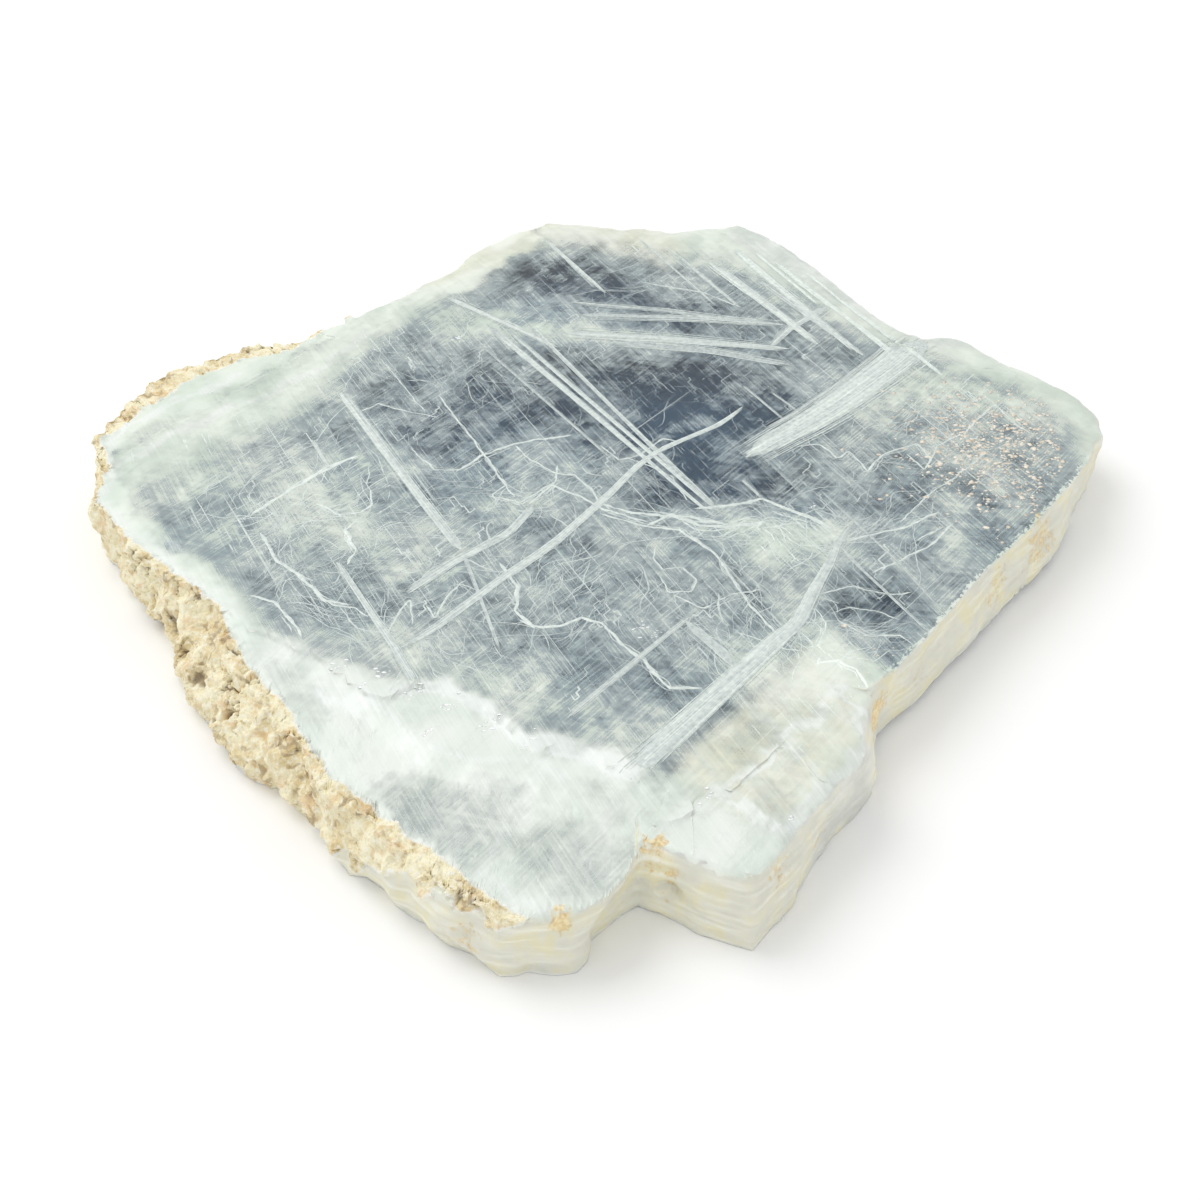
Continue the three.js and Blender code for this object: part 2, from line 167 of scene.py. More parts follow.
# Frosted parts of the top: outline, how white, and how softly it ends.
FROSTED = [
    ([(-110, -16), (-76, -9), (-67, -2), (-60, 6), (-52, 15), (-46, 25), (-42, 36), (-35, 47), (-28, 57),
      (-22, 68), (-15, 77), (-10, 84), (-10, 120), (-110, 90)], 0.84, 9.0),
    ([(-110, 10), (-79.9, 6.7), (-75.7, 13.6), (-69.9, 19.9), (-64.6, 26.2), (-59.9, 33), (-50, 45),
      (-44, 53), (-30, 69), (-22, 79), (-14, 86), (-10, 120), (-110, 90)], 0.95, 3.0),
    ([(-14, 80), (-5, 82), (2, 81.5), (9, 77), (16, 76), (22, 73), (26, 76), (34, 110),
      (-20, 110)], 0.86, 6.0),
    ([(-13, 84), (-5, 80), (5, 74), (14, 71), (24, 68), (36, 60), (44, 110), (-20, 110)], 0.66, 6.0),
    ([(-27, 62), (-10.5, 86), (-40, 100), (-60, 60)], 0.86, 1.2),
    ([(18, 84), (22, 76), (27, 68), (36, 60), (43, 50), (49, 42), (56, 38.5), (61, 35.5), (68, 33.5),
      (77, 32.5), (81, 27), (110, 60), (60, 110), (24, 110)], 0.80, 6.0),
    ([(78, 0), (80, 8), (78, 19), (73, 26), (66, 29), (60, 32), (70, 60), (110, 40), (110, 0)], 0.86, 5.0),
    ([(-82, 6), (-76, -2), (-73.5, -10), (-68, -17), (-61, -23), (-54, -31), (-49, -38), (-43.5, -42.5),
      (-38, -46), (-33, -49), (-27, -49.5), (-21, -51), (-15, -55), (-9, -60.5), (-4, -64), (2, -66),
      (8, -70), (12, -74), (20, -75), (26, -78), (30, -110), (-110, -110), (-110, 6)], 0.95, 4.5),
    ([(7, -72), (14, -64), (22, -54), (28, -46), (33, -38), (38, -44), (50, -60), (30, -95), (5, -95),
      (5, -76)], 0.88, 2.5),
]

# Clearer windows in the frosted parts, written the same way.
WINDOWS = [
    ([(-29.8, -69.6), (-23, -70.4), (-16.2, -72.1), (-10.1, -73.8), (-13.3, -81.2), (-17, -85.5),
      (-21.7, -85.5), (-26.4, -79.6), (-29.8, -75.5)], 0.30, 2.6),
    ([(-12.8, -81.2), (-7.6, -77.1), (-1.6, -78.8), (4.3, -81.2), (3, -87.4), (-1.5, -92), (-7.2, -90.2),
      (-10.8, -86.4)], 0.24, 2.4),
    ([(-84.6, 7.8), (-82.4, 14.1), (-76.4, 19.6), (-74.4, 21.8), (-74, 16.3), (-78, 9.9),
      (-82.4, 5.8)], 0.20, 1.6),
    ([(-72.6, 25.1), (-68.6, 29.7), (-61.9, 34.4), (-52, 47), (-50, 44), (-60.1, 30.9),
      (-65.9, 25.1)], 0.14, 1.6),
    ([(14, -66), (25, -54), (31, -57), (20, -69)], 0.14, 4.0),
    ([(-3, -72), (4, -70), (6, -78), (0, -78)], 0.14, 3.0),
    ([(-52, -40), (-42, -48), (-36, -58), (-48, -56)], 0.14, 5.0),
    ([(18, -73), (24, -66), (28, -68), (27, -76), (22, -79)], 0.10, 2.0),
]

# White crests along the edges of the frosted layers: line, half width and strength.
CRESTS = [
    ([(-40.4, -53.2), (-32.4, -56), (-26.2, -53.2), (-22.4, -52.2), (-17, -57), (-13, -60.7), (-5.4, -65.2),
      (3.8, -70.4)], 2.6, 1.0),
    ([(-37.1, -54.1), (-33.6, -57), (-29.7, -57.9), (-28.7, -61.6), (-24.6, -65.2), (-18.9, -67),
      (-12.8, -66.1), (-7.8, -67), (-5, -71.3)], 1.8, 0.9),
    ([(15.7, -73.1), (19.9, -77.1), (23.5, -81.1)], 1.6, 1.0),
    ([(6.6, -81.1), (9.1, -78.5), (12.1, -75.8), (15.7, -73.1)], 1.2, 0.8),
    ([(23.5, -81.1), (29, -74.4), (34.6, -68.8), (37.8, -63), (35.7, -59.3)], 2.2, 0.9),
    ([(17.7, -72.4), (22.7, -66), (26.1, -62.3), (35, -52)], 1.2, 1.0),
    ([(26.1, -62.3), (29.9, -74.4)], 1.0, 0.9),
    ([(11, -63.5), (20, -80)], 0.8, 0.6),
    ([(19.5, -53), (28, -70)], 0.9, 0.7),
    ([(-15.4, -86.6), (-13.4, -79.6), (-10.7, -73.8), (-7.8, -67.8)], 1.8, 0.8),
    ([(-15.4, -86.6), (-10.7, -90.4), (-7.2, -94.1)], 1.4, 0.9),
    ([(-81.7, 2.7), (-77.6, 7.8), (-73, 14.1), (-66.8, 19.6), (-59.3, 25.1), (-51.6, 35),
      (-44, 46)], 1.2, 0.6),
    ([(-86.2, 9.9), (-84.1, 16.3), (-80.2, 20.7), (-75.7, 25.1), (-71, 29.7), (-66.3, 34.4)], 1.4, 0.8),
    ([(33.1, -53.9), (36.1, -55.4), (37.3, -58.5)], 1.2, 1.0),
]

# Where the frost is whiter than elsewhere: outline, strength and softness.
BRIGHT = [
    ([(-58, -36), (-50, -40), (-38, -45), (-22, -50), (-6, -62), (10, -72), (28, -78), (40, -60), (44, -50),
      (60, -30), (110, -60), (0, -130), (-70, -80)], 0.5, 4.0),
    ([(28, 84), (44, 62), (62, 44), (70, 46), (60, 80), (30, 100)], 0.6, 3.0),
]

# Parts of the top that look yellower, and how softly they end.
YELLOW_BLOCK = [(9, -69), (18, -58), (29, -45), (36, -50), (37, -62), (26, -77), (18, -78)], 3.0
YELLOW_BACK = [(-40, 62), (-24, 68), (-12, 84), (0, 79), (14, 72), (18, 100), (-40, 100)], 4.0

# The way from the middle of the slab to its right side, where the walls are yellower.
TO_RIGHT = np.array([0.79, -0.61])

# Haze in the crystal: centre, half sizes, turn in degrees, and how much more or less there is.
HAZE_EVERYWHERE = 0.40
HAZE = [
    ((-5, 67), (17, 9), -20, -0.44),
    ((16, 20), (24, 24), 0, -0.42),
    ((-20, 19), (24, 13), 20, -0.26),
    ((17, -4), (17, 10), 0, -0.42),
    ((0, 34), (24, 7), -8, -0.24),
    ((-38, 34), (14, 10), 40, -0.16),
    ((46, -2), (14, 12), 30, -0.06),
    ((40, -34), (9, 7), 30, -0.18),
    ((12, 54), (18, 7), -10, -0.26),
    ((-47, -8), (18, 20), 30, 0.18),
    ((-42, 3), (12, 8), 40, 0.12),
    ((-68, -2), (9, 13), 0, 0.26),
    ((-62, -20), (9, 9), 0, 0.22),
    ((-54, 18), (11, 9), 45, 0.16),
    ((28, -18), (17, 9), -25, 0.42),
    ((31, -40), (8, 12), 20, 0.20),
    ((22, -48), (9, 8), 20, 0.20),
    ((-22, 50), (22, 9), -8, 0.34),
    ((6, 45), (30, 4.5), -8, 0.26),
    ((52, 26), (14, 11), 40, 0.30),
    ((-28, -47), (22, 8), -22, 0.20),
    ((-8, -58), (22, 9), -24, 0.18),
    ((-40, 36), (8, 8), 40, 0.22),
    ((-12, -6), (14, 9), 30, 0.16),
    ((68, 24), (16, 9), -30, 0.30),
    ((36, 64), (9, 18), 28, 0.22),
    ((-30, -22), (26, 14), -30, 0.12),
    ((62, 8), (13, 14), 20, 0.10),
    ((56, -18), (10, 10), 40, 0.12),
    ((20, -50), (12, 7), 30, 0.12),
]

# Orange and tan stains: centre, radius and strength.
STAINS = [
    ((-5.3, -95, 11), 2.8, 0.9), ((-2, -95, 8), 2.0, 0.6), ((6.9, -82, 10.5), 3.2, 1.0),
    ((10, -84, 9.5), 2.4, 0.9), ((4, -80, 3), 3.0, 0.9), ((9.1, -83.9, 5.5), 2.4, 0.75),
    ((39.5, -53.5, 8), 4.4, 1.0), ((38, -57, 5), 3.0, 0.8), ((24, -86, 9), 4.0, 0.5),
    ((30, -76, 6), 4.5, 0.45), ((70.6, -12, 8), 7.0, 0.6), ((63, -24, 8), 6.0, 0.5),
    ((49, -44, 7), 5.0, 0.4), ((-80, 30, 10), 5.0, 0.5), ((-18, -92, 4), 5.0, 0.5),
]

# The small round hollow in the front of the block: centre, radius and depth.
HOLLOW = ((9.1, -83.9, 5.5), 2.6, 1.7)

# Pits in the crust, written the same way. The crust material also paints shade into them.
PITS = [
    ((-67, -31, 6), 3.0, 1.5), ((-54.6, -51.7, 5), 3.4, 1.5), ((-61.5, -43.8, 6), 2.6, 1.2),
    ((-45, -67, 6), 3.0, 1.3), ((-40, -68, 7), 2.4, 1.2), ((-25.4, -83, 6), 3.0, 1.4),
    ((-18, -88, 7), 2.4, 1.1), ((-87, -2, 6), 2.4, 1.0),
]

# Cleavage cracks, which show as white bands: middle line, width at each end, and how full of
# white they are.
CRACKS = [
    ([(-47, 25.9), (-22, -21.2)], (1.3, 1.5), 1.0),
    ([(-22, -21.2), (-15, -45)], (0.6, 0.4), 0.5),
    ([(-41.5, -23.8), (-30.4, -44.8), (-26.3, -53.4)], (0.9, 1.1), 0.9),
    ([(-49.9, 10.4), (-45.7, 1.5)], (0.7, 0.5), 0.6),
    ([(-22, 50), (2, 13), (18, -12)], (1.4, 0.5), 0.75),
    ([(-18, 48), (20, -12)], (0.8, 0.6), 0.7),
    ([(-14, 50), (14, -2)], (0.7, 0.5), 0.6),
    ([(-25, 46), (2, 4)], (0.5, 0.5), 0.5),
    ([(-10, 42), (19, -10)], (0.5, 0.6), 0.45),
    ([(-11.8, 84.3), (0.8, 61.7)], (0.9, 0.6), 0.7),
    ([(-7.1, 75.4), (-1.3, 63.8)], (0.6, 0.5), 0.5),
    ([(15, 78), (26.6, 56.4)], (0.7, 0.5), 0.6),
    ([(21.8, 74.3), (35, 51.7), (40.3, 42.2)], (2.1, 1.4), 0.9),
    ([(31.3, 66.9), (48.7, 38)], (1.2, 0.9), 0.7),
    ([(25.5, 27.8), (32.1, 16.2)], (0.5, 0.4), 0.5),
    ([(30.3, 25.7), (34.5, 19.4)], (0.4, 0.4), 0.5),
    ([(23.4, -1.7), (26.3, -6.9)], (0.5, 0.4), 0.6),
    ([(36, -4.3), (46, -23.3), (51.8, -36.9)], (0.5, 0.4), 0.6),
    ([(37.6, -20.6), (48.7, -41.2)], (0.5, 0.4), 0.5),
    ([(12.4, -38.2), (19.7, -48.7)], (3.4, 2.6), 0.3),
    ([(-29.7, -44.7), (-24.7, -39.7), (-15, -27.5), (-8, -19.5), (0, -7.5), (6, 2.5), (10, 7.5), (17, 12.5),
      (21, 15.5), (25, 20.5)], (1.5, 0.8), 1.0),
    ([(-30, -31.5), (-23, -23.5), (-15, -16.5), (-11, -8.5)], (1.5, 1.2), 0.8),
    ([(3.5, -71), (29.7, -38.2), (32.4, -31.2), (36, -23.3), (37.6, -18.5),
      (40.3, -13.8)], (4.6, 0.8), 0.8),
    ([(5, -67), (27, -39.5)], (1.2, 1.0), 0.8),
    ([(-5, -59.7), (6, -46), (13.4, -37.1)], (0.9, 0.7), 0.8),
    ([(24.5, 5), (30, 10.5), (36, 15.8), (43, 23), (53.5, 35.5), (61, 45.5)], (5.5, 9.0), 0.9),
    ([(25.5, 6.5), (35, 16.5), (44, 27), (55, 40)], (1.0, 2.0), 1.1),
    ([(30, 8), (41, 18.5), (52, 31)], (0.8, 1.6), 1.0),
    ([(31.3, 41.2), (35.5, 48), (43.9, 56.9)], (1.3, 2.0), 0.8),
    ([(-5.5, 58), (12, 55), (29.7, 50.6)], (1.8, 1.4), 0.6),
    ([(-4, 53.3), (18, 52), (35, 49.6)], (2.6, 1.6), 0.65),
    ([(-7, 46.4), (12, 44.6), (35, 40.6)], (3.2, 2.2), 0.6),
    ([(2, 43), (20, 40), (35, 34.8)], (2.6, 1.8), 0.5),
    ([(-30, 60), (-17, 49), (-8, 41)], (2.5, 1.5), 0.4),
    ([(27, 80), (35, 64), (47, 40)], (1.6, 1.0), 1.1),
    ([(31, 79), (42, 57)], (0.8, 0.5), 1.2),
    ([(35, 76), (55, 37)], (1.2, 0.9), 1.1),
    ([(41, 72), (52, 50)], (0.6, 0.5), 1.2),
    ([(46, 62), (57, 41), (62, 31)], (1.0, 0.8), 1.0),
    ([(8, 84), (22, 57)], (0.5, 0.4), 0.6),
]

# Thin winding cracks: their line and half width.
WINDING = [
    ([(32.9, 8.3), (37.6, 9.1), (40, 4.6), (42.1, 7.3), (44.7, 0.9), (47.6, 5.7), (50.8, 7.5), (54.2, 9.4),
      (55.8, 4.6), (54.2, 1.2), (51.8, 6.2)], 0.16),
    ([(55, 2.5), (57.6, 8.8), (62.9, 12.5), (65.5, 16.7), (69.7, 21.5), (70.8, 18.3), (72.4, 14.6),
      (75, 11.5)], 0.13),
    ([(38.7, -18.8), (42.4, -16.9), (48.7, -14.8), (55, -10.6)], 0.2),
    ([(49.7, -18.5), (55, -14.8)], 0.13),
    ([(0, -8.5), (4, -10.5), (8, -11.5), (14, -12), (20, -14)], 0.28),
    ([(15, -9.6), (21.3, -9), (26.3, -7), (29.7, -9.6), (33.9, -12.2), (37.1, -15.4)], 0.32),
    ([(-12.4, -38.2), (-9.2, -40), (-6, -39.5), (-2.9, -37.6), (0.3, -39.2), (2.9, -43.9), (6, -47.1),
      (7.6, -50.3), (9.7, -53.4), (14.5, -53.4)], 0.26),
    ([(8, 66), (20, 62), (27, 56)], 0.14),
    ([(-16, -24), (-13, -30), (-13, -36), (-10, -40)], 0.24),
    ([(-29.3, 24.7), (-21.3, 8.7), (-14.3, -6.7)], 0.16),
    ([(-40.9, 37.6), (-31.1, 19)], 0.10),
    ([(-54.7, -16.2), (-50.7, -24.1), (-46.8, -27.2), (-42.1, -33.4), (-38.2, -34.6)], 0.26),
    ([(-39.7, -24.7), (-39, -20.8), (-41.2, -15.6), (-39.5, -12.9)], 0.22),
    ([(-7.5, 2.7), (-7.6, -1.7), (-9.4, -5.2), (-12.1, -8.8)], 0.16),
    ([(-14.9, 8.7), (-12.1, 4.2), (-7.8, 0.5), (-4.5, -0.2), (-1.5, -4.5), (-0.3, -8.8)], 0.16),
    ([(-24.6, 0.5), (-20.3, 5.7), (-15.3, 8.7), (-11.5, 10.3), (-5.1, 11.8)], 0.2),
    ([(-18.8, -6), (-13.4, -8.1), (-8.6, -3.1), (-3.2, -6.7), (0.5, -10.1), (7.8, -13.6)], 0.18),
    ([(-42.5, 19), (-39.7, 21.8), (-33.7, 19), (-28.3, 17.4)], 0.12),
    ([(-32.8, 8), (-28, 1.3), (-24.2, 1.3), (-20.2, 4.2)], 0.12),
    ([(-38.3, -4.5), (-37.5, -8.8), (-38.9, -10.8), (-42.4, -11.5), (-46.9, -8.1)], 0.15),
    ([(-57, -11.5), (-54.3, -8.1), (-51.5, -4.5), (-48.3, -0.9), (-45, 2.7), (-41.1, 5.7)], 0.3),
    ([(-53.7, -32.1), (-49.7, -34), (-46.9, -37.5), (-44.4, -42.2)], 0.24),
    ([(-43.8, -32.1), (-40.8, -34.6), (-37.4, -35.2), (-35.2, -37.5)], 0.16),
    ([(-32.1, -42.2), (-30.5, -35.8), (-29.2, -33.4), (-28.2, -39.3)], 0.14),
    ([(-26.8, -34.6), (-25.1, -37.5), (-23.6, -32.1), (-21.1, -28.5)], 0.14),
    ([(-0.3, -11.2), (7.2, -14.6), (12.2, -15.4), (17.9, -22), (22.4, -34.4), (26.1, -41.7)], 0.2),
    ([(7.2, -14.6), (11.4, -11.2), (15.8, -14.6), (21.3, -14.6), (25.9, -13.7)], 0.3),
    ([(32.3, -35.2), (33.4, -38.8), (32.2, -43.9), (30, -44.6)], 0.12),
    ([(8.6, -19.5), (8, -22.8), (9.4, -26), (12.4, -25.2), (14.7, -28.3), (13.6, -31.4), (10.2, -31.4),
      (8.9, -27.5)], 0.12),
    ([(10.7, -32.1), (15.3, -35.2), (19.7, -32.1), (24.6, -30.6)], 0.12),
    ([(33.1, -32.1), (38.1, -29.9), (40.9, -31), (44.6, -32.1), (47.5, -31.4)], 0.12),
    ([(35.3, -38.1), (39.1, -41.7), (44.2, -41.7), (46.2, -43.9)], 0.12),
    ([(34.5, -36.6), (37.5, -35.2), (41.2, -35.9), (44.7, -38.1)], 0.10),
    ([(31.1, -48.1), (34.3, -47.4), (36.8, -49.4), (38.1, -53.5)], 0.2),
    ([(41.9, -26.7), (46.7, -23.6), (52.2, -19.5), (56.6, -13.7)], 0.16),
    ([(48, -13.7), (54.4, -5.1), (59.2, -0.6), (65.8, 6.8)], 0.13),
    ([(3.9, 5), (7.1, 3.1), (11.7, -0.6), (14, -7.7)], 0.10),
    ([(-0.3, 8.7), (2.9, 4), (6.6, 5.9), (10.5, 10.7), (13.7, 9.7)], 0.12),
]

# Where webs of fine veils spread: centre, half sizes, turn in degrees, how many, and the way they
# run in degrees.
VEILS = [
    ((-50, 0), (15, 20), 25, 190, 50),
    ((-38, -22), (18, 15), -20, 300, 30),
    ((-28, -44), (20, 7), -25, 170, 150),
    ((-8, -28), (18, 14), 20, 190, 60),
    ((-12, -6), (16, 12), 20, 150, 20),
    ((24, -14), (14, 5), -25, 150, 160),
    ((20, -40), (14, 12), 0, 170, 120),
    ((44, -14), (12, 9), 30, 110, 30),
    ((40, -42), (7, 6), 0, 110, 10),
    ((12, 58), (22, 9), -8, 80, 172),
    ((-30, 30), (16, 16), 25, 120, 110),
    ((48, 6), (12, 8), 20, 90, 30),
    ((0, 22), (30, 28), 0, 90, 110),
    ((62, 20), (14, 7), -20, 70, 30),
]

# The outline of the flat top.
TOP_OUTLINE = [
    (-80, 6), (-74, -10), (-60, -25), (-46, -40), (-28, -50), (-8, -63), (8, -72), (24, -80), (34, -66),
    (38, -54), (58, -28), (72, -10), (80, 4), (80, 26), (62, 34), (55, 41), (42, 60), (28, 82), (0, 84),
    (-12, 83), (-26, 66), (-46, 46), (-60, 31),
]

# Painted glints, as bright flakes where a crack mirrors the light: centre and how far they spread.
FLASHES = [
    (5.5, -40.5, 1.6), (8.0, -41.5, 0.8), (-27, 44.5, 1.3), (34, -9.5, 0.8), (-12, 84, 0.8), (16, -56, 0.7),
    (-58, -13, 0.5), (60, 4, 0.6), (-8, 40, 0.5), (-33, -51, 1.8), (-27, -53.5, 1.8), (-21, -56, 1.6),
    (-15, -59.5, 1.6), (-10, -64, 1.4), (-38, -48, 1.5), (-24, -61, 1.4), (14, -75, 1.4), (24, -79, 1.2),
    (36, -54, 1.0), (-78, 8, 0.8), (-71, 27, 1.2), (-60, 38, 1.2),
]

# How far the flat bands, fibres and threads stand out of the polished face, and half the
# thickness of a band.
BAND_ABOVE = 0.015
FIBRE_ABOVE = 0.045
THREAD_ABOVE = 0.008
BAND_HALF = 0.03

# How far the face may drop under a fine thread and under a broad strand.
THREAD_DROP = 0.25
STEP_DROP = 3.0

# The white that fine threads are lightened towards.
THREAD_WHITE = 1.1

# How many points one band, fibre, veil and winding crack has.
BAND_POINTS = 26
FIBRE_POINTS = 13
VEIL_POINTS = 13
CRACK_POINTS = 46

# How many of each are tried before those outside are left out, and how many belong to one.
HAIRLINES = 5200
CLEAVAGE_STEPS = 900
TURNS_EACH = 5
THREADS_EACH = 4
SAND_GRAINS = 2600
LOOSE_GRAINS = 60
FLAKES_EACH = 9


def smooth(value, low, high):
    """0 below low, 1 above high, and smooth between them."""
    t = np.clip((value - low) / (high - low), 0, 1)
    return t * t * (3 - 2 * t)


def along(angle):
    return np.array([math.cos(angle), math.sin(angle)])


def turned(way):
    """A direction turned a quarter to the left."""
    return np.array([-way[1], way[0]])


def at_height(plane, height=0.0):
    """Places seen from above, as places in space."""
    return np.column_stack([plane, np.broadcast_to(height, len(plane))])


def to_line(points, line, closed=False):
    """How far each point is from a line, and on which side: positive on its left."""
    line = np.array(line, float)
    ends = np.roll(line, -1, axis=0) if closed else line[1:]
    starts = line if closed else line[:-1]
    best = np.full(len(points), np.inf)
    side = np.zeros(len(points))
    for start, end in zip(starts, ends):
        step = end - start
        t = np.clip(((points - start) @ step) / (step @ step), 0, 1)
        gap = points - start - t[:, None] * step
        distance = np.hypot(*gap.T)
        nearer = distance < best - TINY
        best = np.where(nearer, distance, best)
        turn = step[0] * (points[:, 1] - start[1]) - step[1] * (points[:, 0] - start[0])
        side = np.where(nearer, np.sign(turn), side)
    return best * side


def enclosed(points, starts, ends):
    """True for points that the edges between starts and ends go round."""
    result = np.zeros(len(points), bool)
    for (x0, y0), (x1, y1) in zip(starts, ends):
        if y0 != y1:
            crosses = (y0 > points[:, 1]) != (y1 > points[:, 1])
            reach = (x1 - x0) * (points[:, 1] - y0) / (y1 - y0) + x0
            result ^= crosses & (points[:, 0] < reach)
    return result


def inside(points, outline):
    """True for points inside an outline, given as a list of corners."""
    outline = np.array(outline, float)
    return enclosed(points, outline, np.roll(outline, -1, axis=0))


def within(points, outline, soft):
    """1 well inside an outline, 0 well outside, softly between."""
    distance = np.abs(to_line(points, outline, closed=True))
    signed = np.where(inside(points, outline), distance, -distance)
    return smooth(signed, -soft, soft)


def nearest(places, targets):
    """How far each place is from the nearest of the targets."""
    tree = kdtree.KDTree(len(targets))
    for index, target in enumerate(targets):
        tree.insert(target, index)
    tree.balance()
    return np.array([tree.find(place)[2] for place in places])


def distance_from(corners, centre):
    return np.linalg.norm(corners - np.array(centre), axis=1)


def rough(points, size, octaves=3, seed=0.0):
    """Fractal noise from about -1 to 1, with lumps of the given size."""
    shift = Vector([seed * step for step in SEED_STEP])
    places = [Vector(point) / size + shift for point in points]
    return np.array([noise.fractal(place, OCTAVE_FADE, OCTAVE_FINENESS, octaves) for place in places])


def new_mesh(name, corners, triangles):
    """A mesh object from corners in millimetres."""
    mesh = bpy.data.meshes.new(name)
    mesh.vertices.add(len(corners))
    mesh.vertices.foreach_set("co", np.ravel(corners * MM).astype(np.float32))
    mesh.loops.add(3 * len(triangles))
    mesh.loops.foreach_set("vertex_index", np.ravel(triangles).astype(np.int32))
    mesh.polygons.add(len(triangles))
    mesh.polygons.foreach_set("loop_start", np.arange(0, 3 * len(triangles), 3, dtype=np.int32))
    mesh.update(calc_edges=True)
    mesh.validate()
    piece = bpy.data.objects.new(name, mesh)
    bpy.context.scene.collection.objects.link(piece)
    return piece


def give_values(piece, name, values):
    """One number for each corner of a piece, for its material to read."""
    layer = piece.data.attributes.new(name, "FLOAT", "POINT")
    layer.data.foreach_set("value", values.astype(np.float32))


def packed_solid():
    """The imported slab's corners in millimetres and its triangles, with close corners welded."""
    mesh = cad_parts[NODE].data
    mesh.calc_loop_triangles()
    corners = np.empty(3 * len(mesh.vertices), np.float32)
    mesh.vertices.foreach_get("co", corners)
    corners = corners.reshape(-1, 3).astype(float) / MM
    triangles = np.empty(3 * len(mesh.loop_triangles), np.int32)
    mesh.loop_triangles.foreach_get("vertices", triangles)
    cells = np.round(corners / WELD).astype(int)
    _, first, index = np.unique(cells, axis=0, return_index=True, return_inverse=True)
    triangles = index.reshape(-1)[triangles.reshape(-1, 3)]
    a, b, c = triangles.T
    triangles = triangles[(a != b) & (b != c) & (c != a)]
    return corners[first], triangles


def edges_of(triangles):
    """The three edges of every triangle, as pairs of corners."""
    return triangles[:, [[0, 1], [1, 2], [2, 0]]].reshape(-1, 2)


def split_long(corners, triangles, target):
    """Halves every edge that is longer than its target until none is."""
    while True:
        edges = np.sort(edges_of(triangles), axis=1)
        edges, which = np.unique(edges, axis=0, return_inverse=True)
        which = which.reshape(-1, 3)
        ends = corners[edges]
        length = np.linalg.norm(ends[:, 0] - ends[:, 1], axis=1)
        middle = ends.mean(axis=1)
        long = length > target(middle)
        if not long.any():
            return corners, triangles
        new_index = np.full(len(edges), -1)
        new_index[long] = len(corners) + np.arange(long.sum())
        corners = np.vstack([corners, middle[long]])
        mids = new_index[which]
        count = (mids >= 0).sum(axis=1)
        result = [triangles[count == 0]]
        three = count == 3
        a, b, c = triangles[three].T
        p, q, r = mids[three].T
        result += [np.stack(t, axis=1) for t in ((a, p, r), (p, b, q), (r, q, c), (p, q, r))]
        for turn in range(3):
            order = [turn, (turn + 1) % 3, (turn + 2) % 3]
            corner_set = triangles[:, order]
            mid_set = mids[:, order]
            one = (count == 1) & (mid_set[:, 0] >= 0)
            a, b, c = corner_set[one].T
            p = mid_set[one, 0]
            result += [np.stack(t, axis=1) for t in ((a, p, c), (p, b, c))]
            two = (count == 2) & (mid_set[:, 2] < 0)
            a, b, c = corner_set[two].T
            p, q = mid_set[two, 0], mid_set[two, 1]
            result += [np.stack(t, axis=1) for t in ((a, p, c), (p, q, c), (p, b, q))]
        triangles = np.vstack(result)


def open_rim(corners, triangles, level):
    """The edges at one level that have a triangle on one side only."""
    edges = edges_of(triangles)
    _, index, count = np.unique(np.sort(edges, axis=1), axis=0, return_index=True, return_counts=True)
    edges = edges[index[count == 1]]
    return edges[np.abs(corners[edges][:, :, 2] - level).max(axis=1) < LEVEL_GAP]


def even_grid(low, high, spacing):
    """Places in rows, each row half a step along from the next, and each place a little astray."""
    columns = np.arange(low[0], high[0], spacing)
    rows = np.arange(low[1], high[1], spacing * ROW_SHARE)
    grid_x, grid_y = np.meshgrid(columns, rows)
    grid_x[::2] += spacing / 2
    grid = np.stack([grid_x.ravel(), grid_y.ravel()], axis=1)
    return grid + rng.uniform(-GRID_STRAY, GRID_STRAY, grid.shape) * spacing


def fill_level(corners, triangles, level, spacing, upward):
    """Closes the flat opening at one level with small even faces."""
    open_edges = open_rim(corners, triangles, level)
    starts, ends = corners[open_edges][:, :, :2].transpose(1, 0, 2)
    rim, local = np.unique(open_edges, return_inverse=True)
    rim_plane = corners[rim][:, :2]
    grid = even_grid(rim_plane.min(axis=0), rim_plane.max(axis=0), spacing)
    clear = nearest(at_height(grid), at_height(rim_plane)) > RIM_SHARE * spacing
    grid = grid[clear & enclosed(grid, starts, ends)]
    plane = np.vstack([rim_plane, grid])
    places = [Vector(place) for place in plane]
    _, _, faces, sources, _, _ = geometry.delaunay_2d_cdt(
        places, local.reshape(-1, 2).tolist(), [], 0, 1e-6, True
    )
    faces = np.array([source[0] for source in sources])[np.array(faces)]
    faces = faces[enclosed(plane[faces].mean(axis=1), starts, ends)]
    a, b, c = plane[faces].transpose(1, 0, 2)
    turn = (b - a)[:, 0] * (c - a)[:, 1] - (b - a)[:, 1] * (c - a)[:, 0]
    wrong = (turn > 0) != upward
    faces[wrong] = faces[wrong][:, [0, 2, 1]]
    numbers = np.concatenate([rim, len(corners) + np.arange(len(grid))])
    return np.vstack([corners, at_height(grid, level)]), np.vstack([triangles, numbers[faces]])


def crust_reach(plane):
    """How far inside the crusted rim each place is, and FAR where no crust is near."""
    distance = to_line(plane, CRUST_LINE)
    return np.where(np.abs(distance) < CRUST_REACH, distance, FAR)


def face_size(points):
    """How long an edge may be at each place, outside the two flat faces."""
    near_crust = crust_reach(points[:, :2]) < 1.5
    uncrusted = np.where(points[:, 2] > FLOORS_ABOVE, FLOOR_FACE, WALL_FACE)
    return np.where(near_crust, CRUST_FACE, uncrusted)


